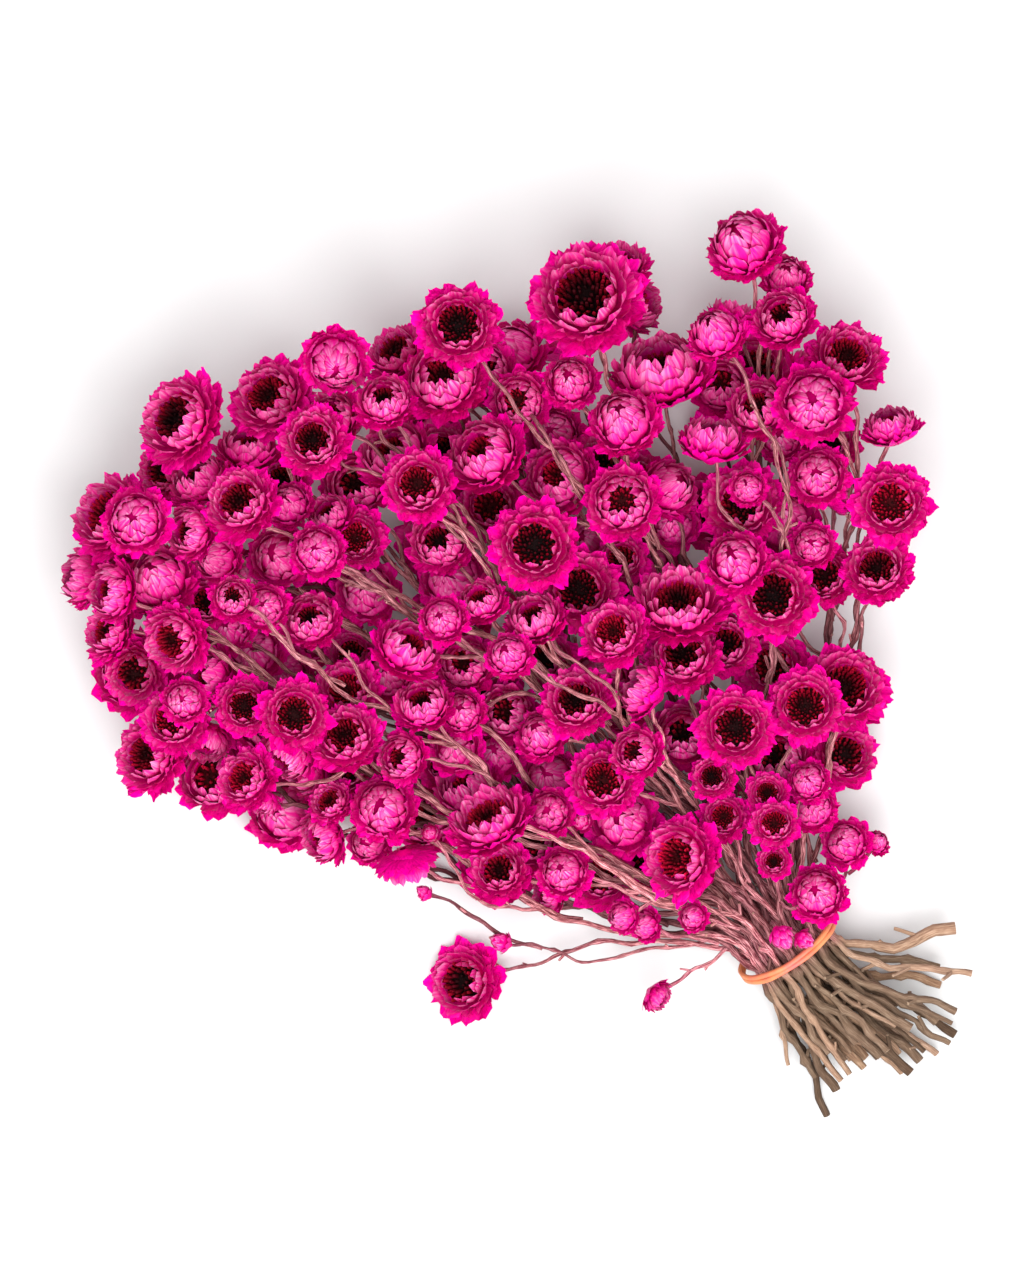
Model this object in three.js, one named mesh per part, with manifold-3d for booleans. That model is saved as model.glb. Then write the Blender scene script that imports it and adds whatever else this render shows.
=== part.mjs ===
// A tied bunch of dried winged everlasting, lying on a surface. Millimetres, +Z up.
// Every flower head is placed by its own row. A rule then sets the heads clear of each other, gathers them
// into sprays, leads one stem of each spray through the band and bends the stems clear of all the rest.
import * as THREE from "three";
import { mergeVertices } from "three/addons/utils/BufferGeometryUtils.js";
import Module from "manifold-3d";

const wasm = await Module();
wasm.setup();

// Sizes of the bunch. Heads that others cover are drawn by what shows of them, and grow by a larger factor
const TIE_ASIDE = 1.5;
const TIE_HEIGHT = 15;
const BUNDLE_WIDE = 15.2;
const BUNDLE_HIGH = 11.3;
const FAN_LENGTH = 190;
const TIE_HALF_WIDTH = 16;
const FAN_HALF_WIDTH = 134;
const TIE_HALF_HEIGHT = 14;
const FAN_HALF_HEIGHT = 45;
const FAN_SWELL = 0.7;
const FAN_MIDDLE = 150;
const FAN_REACH = 118;
const FLANK_MOST = 0.93;
const END_MOST = 0.85;
const SPAN_LEAST = 2;
const COVERED_LEVEL = 3;
const COVERED_GROWTH = 1.38;
const MIDDLE_LEVEL = 7;
const MIDDLE_GROWTH = 1.26;
const TOP_GROWTH = 1.09;
const LEVEL_MIDDLE = 5;

// Sizes of the stems
const STEM_RADIUS = 1.45;
const TWIG_RADIUS = 1;
const STEM_SIDES = 4;
const TWIG_SIDES = 3;
const STEM_STEP = 40;
const TWIG_STEP = 28;
const TIE_RUN = 8;
const CUT_LEAST = 29;
const CUT_SPREAD = 24;
const CUT_ASIDE = 11;
const CUT_STRAY = [17, 9];
const CUT_FAN = 2.0;
const CUT_HEIGHT = 10.5;
const CUT_RISE = 0.72;
const KNOTTY_CUT = [46, -25, 11];
const NECK = 2.2;
const ROOT_DEPTH = 0.1;

// Sizes of the heads. Each kind has its width and its thickness as shares of the radius
const BODY = {
  O: { wide: 1, thick: 0.47 },
  H: { wide: 0.97, thick: 0.64 },
  C: { wide: 0.95, thick: 0.67 },
  B: { wide: 0.9, thick: 1 },
};
const LARGE_HEAD = 11.8;
const SMALL_HEAD = 7.8;
const LARGE_COLUMNS = 10;
const MIDDLE_COLUMNS = 8;
const SMALL_COLUMNS = 6;
const LEAST_COLUMNS = 6;
const HIDDEN_LEVEL = 5.9;
const DEEP_LEVEL = 4.7;
const BASE_ASIDE = 0.3;
const NOTCH_DROP = 0.3;
const HEAD_TWIST = 2.4;

// Profiles of the heads from the stem to the top, as shares of the radius: how far out, how high, how deep
// the notches between bract tips are, and whether the tips stand over the notches of the layer below
const PROFILES = {
  O: [[0, -0.5, 0, 0], [1, 0, 0.17, 0], [0.66, 0.04, 0, 0], [0.72, 0.36, 0.16, 1], [0, 0.02, 0, 0]],
  H: [[0, -0.66, 0, 0], [1, 0.02, 0.16, 0], [0.72, 0.1, 0, 0], [0.7, 0.52, 0.18, 1], [0, 0.14, 0, 0]],
  C: [[0, -0.6, 0, 0], [1, -0.06, 0.18, 0], [0.74, 0.04, 0, 0], [0.56, 0.5, 0.14, 1], [0, 0.72, 0, 0]],
  B: [[0, -0.9, 0, 0], [0.92, -0.1, 0.1, 0], [0.5, 0.75, 0, 0], [0, 1.05, 0, 0]],
};
const VALLEY_ROW = 2;

// Sizes of the rubber band
const BAND_GAP = 0.35;
const BAND_THICK = 1.4;
const BAND_WIDE = 3.4;
const BAND_SIDES = 28;
const BAND_SLANT = 0.42;
const BAND_SOFT = 0.49;

// Clearances
const HEAD_GAP = 0.9;
const STEM_GAP = 0.85;
const HEAD_CLEAR = 1.1;
const FLOOR_DIP = 0.9;
const STEM_DIP = 0.6;
const REST_PLANE = 1.7;
const FLOOR_SIDE = 600;
const FLOOR_THICK = 20;

// Heads that fill the bunch stand on two grids with drawn offsets: one in the gaps between the heads above,
// and one beneath. Each has its pitch, its rows and columns, the room it leaves round the centres of the
// heads above, the least way between its own heads, its levels and its diameters
const FILLINGS = [
  {
    seed: 29, step: 11, rows: 16, columns: 11, room: 5, share: 0.33, apart: 15,
    levels: [3.2, 4.6],
    sizes: [15, 18],
  },
  {
    seed: 31, step: 22.5, rows: 8, columns: 6, room: 0, share: 0, apart: 23,
    levels: [1.9, 2.9],
    sizes: [20, 25],
  },
];
const FILL_START = 50;
const FILL_OFFSET = 0.4;
const FILL_KINDS = ["O", "H", "C"];
const FILL_TILT = 20;
const FILL_LEAN = 120;
const FILL_AROUND = 30;
const FILL_NEIGHBOURS = 8;

// How the heads settle: rounds, the share of an overlap that a round mends, and how much of it is sideways
const HEAD_ROUNDS = 220;
const HEAD_PUSH = 0.3;
const HEAD_SIDEWAYS = 0.35;
const HEAD_LIFT = 0.4;
const HOME_PULL = 0.04;

// How heads gather into sprays: the widest reach, its loss for each head already there, and the most heads
const SPRAY_REACH = 25;
const SPRAY_CROWD = 3.5;
const SPRAY_MOST = 6;
const SPRAY_NEAR = 12;

// How the stems share the band, and where twigs leave them
const SLOT_PITCH = 3.35;
const SLOT_ROUNDS = 400;
const SLOT_FAN = 1.15;
const SLOT_RISE = 3.4;
const SLOT_SLOPE = 0.165;
const SLOT_PULL = 0.3;
const FORK_SHARES = [0.2, 0.5, 0.8];
const FORK_APART = 6;
const FORK_SLANT = 0.6;
const TWIG_LEAST = 11;
const CUT_SEED = 71;

// How the stems settle: rounds, how far an end or a route gives way, and how strongly stems are pushed
const STEM_ROUNDS = 480;
const END_LOOSE = 0.6;
const ROUTE_LOOSE = 0.5;
const CLEAR_PUSH = 0.6;
const STEM_PUSH = 0.5;
const STEM_PACE = 3;
const SMOOTHING = 0.05;
const SMOOTH_ROUNDS = 0.7;

// Repeatable draws
const DRAW_FACTOR = 16807;
const DRAW_MODULUS = 2147483647;

// Colours
const BRACT_COLOUR = 0xd81b86;
const RUBBER_COLOUR = 0xe98a4f;

// Each row is a head: x, y, diameter, kind, lean in x, lean in y, tilt in degrees, level from 0 at the
// underside to 10 at the top. The kinds are O open, H half open, C closed with a skirt and B a bud.
// The origin of x and y is the middle of the band, and y runs from the cut ends to the heads.
const HEADS = [
  [-57.5, 234, 24, "O", -0.5, 0.85, 45, 6], [-70, 225, 15, "O", -0.6, 0.8, 40, 3],
  [-91, 223, 22, "O", -0.4, 0.9, 50, 6], [-85, 216.5, 19, "C", 0, 1, 10, 9.5],
  [-108, 212.5, 15, "H", -0.7, 0.7, 70, 6], [-103, 203.5, 15, "H", -0.7, 0.6, 55, 6.5],
  [-89.5, 198, 18, "C", 0, 1, 35, 6], [-110.5, 194.5, 16, "O", -0.5, 0.8, 55, 6],
  [-112, 180, 15, "O", -1, 0, 25, 3], [-96, 181, 21, "O", -1, 0.2, 40, 9],
  [-72.5, 194, 13, "C", -0.6, 0.6, 40, 6], [-73.5, 204.5, 14, "H", -0.6, 0.5, 45, 6.5],
  [-63, 216, 18, "H", 0, 1, 60, 7], [-56.5, 203, 22, "O", -0.2, 1, 35, 9],
  [-45, 215, 14, "H", 0.6, 0.8, 60, 3], [-43, 203, 13, "O", 0, 1, 20, 3],
  [-45, 194.5, 12, "C", 0, 1, 30, 6], [-31.5, 223, 21, "O", -0.3, 1, 35, 6],
  [-28, 205.5, 20, "O", 0, 1, 20, 9], [-74.5, 181, 13, "H", 0.5, 0.5, 20, 9],
  [-82, 185, 12, "O", 0, 1, 15, 3], [-68.5, 173.5, 14, "C", 0, 1, 10, 9],
  [-46, 178, 16, "C", 0, 1, 10, 9], [-37, 185, 12, "H", 0, 1, 45, 6],
  [-34.5, 175, 15, "O", 0, 1, 10, 5], [-65.5, 184, 12, "C", 0, 1, 15, 3],
  [-82, 174, 12, "C", 0, 1, 15, 3], [-9.5, 220.5, 19, "C", -0.4, -0.8, 20, 9],
  [-20, 209, 15, "H", 0, 1, 35, 6], [-4, 203.5, 17, "H", 0.4, 0.9, 35, 8.5],
  [7.5, 214, 15, "O", 0, 1, 50, 3], [27, 209, 23, "O", 0, 1, 10, 9],
  [14.5, 199, 21, "H", 0.2, 1, 30, 6], [36.5, 194.5, 15, "C", -0.3, 0.9, 40, 3],
  [63, 194.5, 32, "O", 0.1, 1, 25, 9], [77, 197, 14, "O", 0.5, 0.8, 50, 3],
  [75, 184.5, 14, "H", 0.8, -0.3, 60, 3], [29, 180.5, 15, "H", -0.3, 0.5, 15, 5],
  [45, 176.5, 13.5, "C", 0.1, 0.5, 20, 6], [-10, 177, 21, "O", 0, 0.5, 15, 9],
  [-10.5, 189, 19, "H", 0, 1, 45, 6], [11.5, 173.5, 20, "H", -0.2, 1, 40, 6],
  [111, 180.5, 22, "C", 0, 1, 40, 9], [69, 163.5, 25, "H", 0.4, 0.9, 60, 6],
  [88.5, 163, 17, "C", 0.1, 1, 45, 9], [116, 165, 12, "C", 0.4, 0.6, 30, 6],
  [108, 155.5, 18, "H", 0, 1, 30, 9], [93, 147.5, 17, "O", 0, 1, 10, 3],
  [86.5, 138, 16, "H", 0, 1, 35, 6], [100.5, 129.5, 22, "C", 0, 1, 5, 9],
  [117, 135, 19, "O", 0.7, 0.5, 30, 6], [87.5, 126.5, 11, "C", 0, 1, 15, 3],
  [69.5, 137.5, 19, "H", 0.6, 0.7, 70, 8.5], [70, 120, 11, "C", 0, 1, 15, 9.5],
  [66, 117, 20, "O", 0, 1, 15, 5.5], [89.5, 111, 17, "C", 0, 1, 10, 9],
  [116, 110.5, 14, "H", 0.4, 0.9, 65, 6], [102.5, 91.5, 22, "O", 0, 1, 8, 9],
  [76, 95, 13, "C", 0, 1, 10, 9], [74.5, 85, 14, "O", 0, 1, 15, 3],
  [88, 78, 20, "O", 0.2, 0.8, 25, 8.5], [58, 89.5, 24, "O", 0, 1, 10, 9],
  [-14.5, 159.5, 16, "H", 0, 1, 25, 5.5], [4, 159.5, 16, "O", 0, 1, 15, 3],
  [8, 142.5, 24, "O", 0, 1, 5, 9], [26, 155, 19, "H", -0.3, 0.9, 30, 6],
  [32, 166.5, 14, "C", 0, 1, 15, 3], [51, 157.5, 20, "C", 0.1, 0.8, 30, 9],
  [37, 138, 21, "H", 0, 1, 10, 9], [51, 133.5, 14, "C", 1, 0, 40, 3],
  [-14.5, 138, 14, "H", 0.2, 1, 40, 8.5], [21.5, 135, 12, "C", 0, 1, 15, 3],
  [-4.5, 124.5, 17, "H", 0.2, 1, 45, 8.5], [-17, 120, 13.5, "C", 0, 0.6, 25, 9],
  [11.5, 124, 20, "O", 0, 1, 10, 6], [27, 124, 12, "O", 0, 1, 15, 3],
  [24, 117.5, 12, "O", 0, 1, 15, 3], [-8.5, 112.5, 14, "O", 0, 1, 15, 3],
  [12.5, 107.5, 20, "O", 0, 1, 30, 9], [33.5, 103.5, 27, "O", 0.5, 0.85, 45, 9],
  [54.5, 104, 18, "C", 0, 0.7, 25, 9.5], [-8.5, 97, 18, "O", 0.1, 0.9, 25, 6],
  [-23, 95, 13, "C", 0, 0.7, 30, 6], [10, 88.5, 17, "H", -0.5, 0.85, 75, 9],
  [26, 90, 19, "O", 0, 0.8, 25, 6], [1.5, 86.5, 12, "O", 0, 1, 15, 3],
  [46, 124, 12, "C", 0, 1, 15, 3], [-123, 157.5, 20, "O", -0.6, 0.7, 40, 6],
  [-110, 161.5, 17, "O", 0, 1, 20, 6], [-104, 164.5, 13, "C", 0, 1, 10, 9],
  [-106, 151, 12, "H", -0.5, -0.5, 60, 3], [-90.5, 153, 17, "O", 0, 1, 5, 9],
  [-79.5, 142, 20, "O", 0, 1, 5, 9], [-102.5, 135, 16, "O", -0.4, 0.8, 35, 6],
  [-103, 127, 9, "H", -0.8, -0.4, 70, 3], [-71, 128, 21, "O", 0.1, 1, 30, 9],
  [-63, 139, 17, "O", 0, 1, 25, 6], [-59.5, 162.5, 17, "H", 0.2, 1, 30, 9],
  [-55.5, 147.5, 12, "O", 0, 1, 15, 3], [-40.5, 139, 20, "H", 0.9, 0.4, 50, 9],
  [-27, 140, 14, "C", 0, 0.5, 15, 9], [-46.5, 122.5, 15, "H", 0.3, 0.9, 40, 6],
  [-39, 114, 12, "C", 0, 1, 15, 6], [-60.5, 113.5, 15, "H", -0.7, 0.6, 30, 9],
  [-74, 104, 19, "C", 0, 1, 15, 9], [-86, 114.5, 12, "O", -0.2, 0.9, 40, 6],
  [-94, 107.5, 14, "H", -0.9, 0.2, 60, 6], [-84, 98, 10, "C", -0.7, 0.5, 20, 3],
  [-78, 86, 14, "O", -0.3, -0.9, 112, 3], [-50, 83, 25, "O", 0.1, 1, 55, 9],
  [-50, 95, 16, "H", 0, 1, 50, 3], [-52, 103, 12, "O", 0, 1, 15, 3],
  [-46, 106, 12, "C", 0, 1, 15, 3], [-38, 98, 12, "C", 0, 1, 15, 3],
  [-88, 134, 14, "H", -0.8, -0.2, 60, 3], [-87, 127, 13, "H", -0.6, 0.2, 60, 3],
  [-41, 160, 15, "C", 0, 1, 15, 3], [-94, 166, 14, "H", -0.5, 0.5, 60, 3],
  [-79, 165, 14, "C", 0, 1, 15, 3], [-75, 156, 14, "C", 0, 1, 15, 3],
  [-50, 136, 13, "C", 0, 1, 15, 3], [-15.5, 73, 21, "O", 0, 0.6, 15, 8.5],
  [-2.5, 74.5, 15, "H", -0.5, 0.7, 25, 9.5], [26, 63.5, 22, "O", 0, 1, 5, 9],
  [47, 56.5, 21, "O", 0, 1, 10, 9], [60, 54, 21, "O", 0.6, 0.3, 20, 6],
  [48.5, 37.5, 17, "O", 0.4, 0, 20, 4], [34.5, 37.5, 11, "C", 0, 1, 15, 6],
  [31.5, 30.5, 12.5, "C", 0, 1, 15, 6.5], [18, 8, 16.5, "C", 0, 1, 15, 10],
  [-10, 41, 24, "O", -0.6, 0.6, 35, 9], [8, 43, 14, "O", 0, 1, 15, 7],
  [12, 55, 11, "O", 0, 1, 15, 6.5], [23, 41.5, 12, "O", 0.3, 0.6, 15, 7],
  [19, 33, 14, "O", 0.2, 0.8, 15, 8], [12.5, 23.5, 10, "O", 0, 1, 15, 8.5],
  [46, 71.5, 16, "O", 0, 1, 15, 3], [-56.5, 68.5, 14, "O", 0, 1, 30, 3],
  [-34, 74.5, 12, "C", 0, 1, 10, 6], [-41, 57.5, 13, "C", 0, 1, 15, 6],
  [-48.5, 54.5, 10, "H", -0.8, 0.3, 60, 3], [-17, 24, 9, "C", -0.5, 0.5, 30, 8.5],
  [-28, 67, 6, "B", 0, 1, 20, 6], [-67, 90, 6, "B", -0.4, 0.8, 20, 7],
  [-30, 30, 10, "C", -0.6, 0.5, 40, 7], [-34, 36, 10, "C", -0.7, 0.5, 40, 7],
];

// Heads of the underside and the flanks, which the ones above hide from over the bunch
const UNDER_HEADS = [
  [-92, 205, 17, "O", -0.5, 0.8, 100, 0.5], [-62, 215, 18, "H", -0.2, 1, 95, 1],
  [-22, 205, 17, "O", 0, 1, 105, 0.5], [18, 200, 18, "H", 0.2, 1, 95, 1],
  [52, 186, 19, "O", 0.3, 0.9, 100, 0.5], [97, 165, 17, "O", 0.7, 0.6, 95, 1],
  [106, 138, 16, "H", 0.9, 0.2, 95, 1], [-104, 172, 16, "O", -0.9, 0.3, 100, 1],
  [-96, 143, 16, "H", -0.9, 0, 100, 1], [-75, 180, 16, "O", -0.3, 0.3, 130, 0],
  [0, 172, 17, "O", 0, 0.3, 135, 0], [20, 126, 15, "H", 0.1, 0.1, 140, 0],
  [74, 140, 16, "O", 0.3, 0.2, 130, 0], [58, 106, 15, "O", 0.4, 0, 120, 0],
  [-56, 108, 15, "O", -0.4, 0, 120, 0], [92, 104, 15, "H", 0.8, -0.1, 95, 1],
];

// The heads of one filling grid, where it has room and where the bunch is around
function fillingHeads(rows, filling) {
  const random = stream(filling.seed);
  const between = ([low, high]) => low + (high - low) * random();
  const found = [];
  for (let row = 0; row < filling.rows; row++) {
    for (let column = -filling.columns; column <= filling.columns; column++) {
      const x = (column + (row % 2) / 2 + FILL_OFFSET * (random() - 0.5)) * filling.step;
      const y = FILL_START + (row + FILL_OFFSET * (random() - 0.5)) * filling.step;
      const level = between(filling.levels);
      const diameter = between(filling.sizes);
      const gaps = rows.map((head) => Math.sqrt((head[0] - x) ** 2 + (head[1] - y) ** 2));
      const roomy = gaps.every((gap, k) => gap > filling.room + rows[k][2] * filling.share);
      const apart = found.every((head) => Math.sqrt((head[0] - x) ** 2 + (head[1] - y) ** 2) > filling.apart);
      const around = gaps.filter((gap) => gap < FILL_AROUND).length;
      if (roomy && apart && around >= FILL_NEIGHBOURS) {
        const kind = FILL_KINDS[found.length % FILL_KINDS.length];
        found.push([x, y, diameter, kind, x / FILL_LEAN, 1, FILL_TILT, level]);
      }
    }
  }
  return found;
}

// Sprays that stray from the bunch. The route leads from the band, and the heads grow at its end
const STRAYS = [
  {
    route: [[-24, 30, 17], [-33, 40.5, 12], [-47, 42.5, 7.5], [-61, 43, 6], [-74, 43.5, 6]],
    radius: 1.1,
    heads: [[-85, 47, 23, "O", -0.5, 0.4, 30, 0], [-39.5, 10, 10, "H", 0.3, -0.9, 70, 1]],
  },
  {
    route: [[-20, 10, 7], [-30, 13, 4.5], [-37, 18, 3.5], [-46, 27, 3], [-55, 35.5, 2.6], [-62, 41, 3]],
    radius: 0.95,
    heads: [[-68.5, 50.5, 6.5, "B", -0.6, 0.8, 80, 1], [-79, 76, 5, "B", -0.3, 1, 85, 1]],
  },
  {
    route: [[16, 3.5, 17], [27, -3.5, 14], [36.5, -7.5, 11], [35.5, -1, 10]],
    radius: 1.1,
    heads: [[33.5, 15.5, 11.5, "C", -0.2, 0.6, 20, 3], [41.5, 10, 8, "C", 0.7, 0.3, 45, 2]],
  },
  {
    route: [[2.5, 13, 33]],
    radius: 1.1,
    heads: [[1.5, 3.5, 7.5, "B", 0, -1, 84, 10], [6.5, -1, 6, "B", 0.4, -1, 88, 13.5]],
  },
];

// A repeatable stream of numbers from 0 to 1
function stream(seed) {
  let state = seed;
  return () => {
    state = (state * DRAW_FACTOR) % DRAW_MODULUS;
    return state / DRAW_MODULUS;
  };
}

const add = (p, q, share = 1) => [p[0] + q[0] * share, p[1] + q[1] * share, p[2] + q[2] * share];
const sub = (p, q) => [p[0] - q[0], p[1] - q[1], p[2] - q[2]];
const dot = (p, q) => p[0] * q[0] + p[1] * q[1] + p[2] * q[2];
const size = (p) => Math.sqrt(dot(p, p));
const unit = (p) => add([0, 0, 0], p, 1 / Math.max(size(p), 1e-9));
const mix = (p, q, t) => add(p, sub(q, p), t);
const clamp = (value, low, high) => Math.min(high, Math.max(low, value));

// Half the height of the bunch over a point of the surface, and the height of its middle there
function bunchAt(x, y) {
  const along = clamp(y / FAN_LENGTH, 0, 1);
  const halfHeight = TIE_HALF_HEIGHT + (FAN_HALF_HEIGHT - TIE_HALF_HEIGHT) * Math.sqrt(along);
  const halfWidth = TIE_HALF_WIDTH + (FAN_HALF_WIDTH - TIE_HALF_WIDTH) * Math.pow(along, FAN_SWELL);
  const across = clamp(Math.abs(x) / halfWidth, 0, FLANK_MOST);
  const beyond = clamp((y - FAN_MIDDLE) / FAN_REACH, 0, END_MOST);
  const round = Math.sqrt(1 - across * across) * Math.sqrt(1 - beyond * beyond);
  return { half: halfHeight * round, middle: halfHeight };
}

// How much larger a head is than what shows of it
function growthAt(level) {
  if (level === COVERED_LEVEL) {
    return COVERED_GROWTH;
  }
  return level < MIDDLE_LEVEL && level > COVERED_LEVEL ? MIDDLE_GROWTH : TOP_GROWTH;
}

// A head of a row: its body is an ellipsoid round its axis, lifted to its level in the bunch
function headOf(row) {
  const [x, y, diameter, kind, leanX, leanY, tilt, level] = row;
  const lean = unit([leanX, leanY, 0]);
  const angle = (tilt * Math.PI) / 180;
  const axis = add([0, 0, Math.cos(angle)], lean, Math.sin(angle));
  const radius = (diameter / 2) * growthAt(level);
  const bunch = bunchAt(x, y);
  const wide = BODY[kind].wide * radius;
  const thick = BODY[kind].thick * radius;
  const head = { centre: [x, y, 0], home: [x, y], axis, radius, kind, wide, thick, level };
  const depth = reach(head, [0, 0, 1]);
  const span = Math.max(bunch.half - depth, SPAN_LEAST);
  const lift = level > 0 ? bunch.middle + (level / LEVEL_MIDDLE - 1) * span : 0;
  head.centre[2] = Math.max(lift, depth - FLOOR_DIP);
  return head;
}

// How far a head reaches from its centre in one direction
function reach(head, way) {
  const along = dot(head.axis, way);
  const square = head.wide * head.wide * (1 - along * along) + head.thick * head.thick * along * along;
  return Math.sqrt(Math.max(square, 0));
}

// The direction in which two heads come closest to being apart, and the gap there
function parting(first, second) {
  const line = sub(second.centre, first.centre);
  const ways = [unit(line), first.axis, second.axis, [0, 0, 1], unit(add(first.axis, second.axis))];
  let best = { gap: -1e9, way: ways[0] };
  for (const way of ways) {
    const along = dot(line, way);
    const gap = Math.abs(along) - reach(first, way) - reach(second, way);
    if (gap > best.gap) {
      best = { gap, way: along < 0 ? add([0, 0, 0], way, -1) : way };
    }
  }
  return best;
}

// Heads that overlap move apart, mostly up and down, and drift back to their places in plan
function settleHeads(heads) {
  for (let round = 0; round < HEAD_ROUNDS; round++) {
    const moves = heads.map(() => [0, 0, 0]);
    for (let i = 0; i < heads.length; i++) {
      for (let j = i + 1; j < heads.length; j++) {
        const line = sub(heads[j].centre, heads[i].centre);
        const most = heads[i].radius + heads[j].radius + HEAD_GAP;
        if (dot(line, line) > most * most) {
          continue;
        }
        const { gap, way } = parting(heads[i], heads[j]);
        if (gap >= HEAD_GAP) {
          continue;
        }
        const push = (HEAD_GAP - gap) * HEAD_PUSH;
        const sideways = HEAD_SIDEWAYS * push;
        const lift = line[2] < 0 ? -HEAD_LIFT : HEAD_LIFT;
        const move = [way[0] * sideways, way[1] * sideways, (way[2] + lift) * push];
        moves[i] = add(moves[i], move, -1);
        moves[j] = add(moves[j], move);
      }
    }
    heads.forEach((head, i) => {
      head.centre = add(head.centre, moves[i]);
      head.centre[0] += (head.home[0] - head.centre[0]) * HOME_PULL;
      head.centre[1] += (head.home[1] - head.centre[1]) * HOME_PULL;
      head.centre[2] = Math.max(head.centre[2], reach(head, [0, 0, 1]) - FLOOR_DIP);
    });
  }
}

// The point below a head where its stem comes in, and the one inside it where the stem ends
const neckOf = (head) => add(head.centre, head.axis, -head.thick - NECK);
const rootOf = (head) => add(head.centre, head.axis, -ROOT_DEPTH * head.thick);

// Far heads lead sprays. A nearer head joins the spray whose stem passes closest to its neck
function gatherSprays(heads) {
  const tie = [0, 0, TIE_HEIGHT];
  const far = heads.map((head) => size(sub(head.centre, tie)));
  const order = heads.map((_, i) => i).sort((i, j) => far[j] - far[i]);
  const sprays = [];
  for (const i of order) {
    const neck = sub(neckOf(heads[i]), tie);
    let best = null;
    let least = SPRAY_REACH;
    for (const spray of sprays) {
      if (spray.heads.length >= SPRAY_MOST) {
        continue;
      }
      const way = unit(sub(neckOf(spray.heads[0]), tie));
      const along = dot(neck, way);
      const aside = size(add(neck, way, -along));
      const cost = aside + SPRAY_CROWD * (spray.heads.length - 1);
      if (cost < least && along > SPRAY_NEAR) {
        least = cost;
        best = spray;
      }
    }
    if (best) {
      best.heads.push(heads[i]);
    } else {
      sprays.push({ heads: [heads[i]], route: null, radius: STEM_RADIUS });
    }
  }
  return sprays;
}

// Each stem has a slot in the band, on the side that its head lies on, clear of the other stems
function placeSlots(sprays) {
  const aims = sprays.map((spray) => {
    const goal = spray.route ? spray.route[0] : spray.heads[0].centre;
    const way = sub(goal, [0, 0, TIE_HEIGHT]);
    const aside = way[0] / size(way);
    const up = (way[2] - way[1] * SLOT_SLOPE) / size(way);
    return [aside * BUNDLE_WIDE * SLOT_FAN, up * BUNDLE_HIGH * SLOT_RISE];
  });
  const slots = aims.map((aim) => [...aim]);
  for (let round = 0; round < SLOT_ROUNDS; round++) {
    for (let i = 0; i < slots.length; i++) {
      for (let j = i + 1; j < slots.length; j++) {
        const across = slots[j][0] - slots[i][0];
        const up = slots[j][1] - slots[i][1];
        const apart = Math.max(Math.sqrt(across * across + up * up), 1e-6);
        if (apart < SLOT_PITCH) {
          const push = ((SLOT_PITCH - apart) * 0.5) / apart;
          slots[i] = [slots[i][0] - across * push, slots[i][1] - up * push];
          slots[j] = [slots[j][0] + across * push, slots[j][1] + up * push];
        }
      }
    }
    slots.forEach((slot) => {
      const across = slot[0] / (BUNDLE_WIDE - STEM_RADIUS);
      const up = slot[1] / (BUNDLE_HIGH - STEM_RADIUS);
      const out = Math.sqrt(across * across + up * up);
      if (out > 1) {
        const back = 1 - (SLOT_PULL * (out - 1)) / out;
        slot[0] *= back;
        slot[1] *= back;
      }
    });
  }
  sprays.forEach((spray, i) => {
    spray.slot = slots[i];
  });
}

// Where a twig leaves its main stem: as far along as it can without turning back, and clear of other forks
function forkFor(end, main, joints, forks) {
  let best = null;
  for (let k = 2; k < main.length - 2; k++) {
    const from = joints[main[k]].place;
    const to = joints[main[k + 1]].place;
    for (const share of FORK_SHARES) {
      const place = mix(from, to, share);
      const line = sub(end, place);
      const long = size(line);
      const taken = forks.some((other) => size(sub(other, place)) < FORK_APART);
      const ahead = long > TWIG_LEAST && dot(line, unit(sub(to, from))) > FORK_SLANT * long;
      if (!best || (ahead && !taken)) {
        best = { place, on: { a: main[k], b: main[k + 1], share } };
      }
    }
  }
  return best;
}

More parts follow.
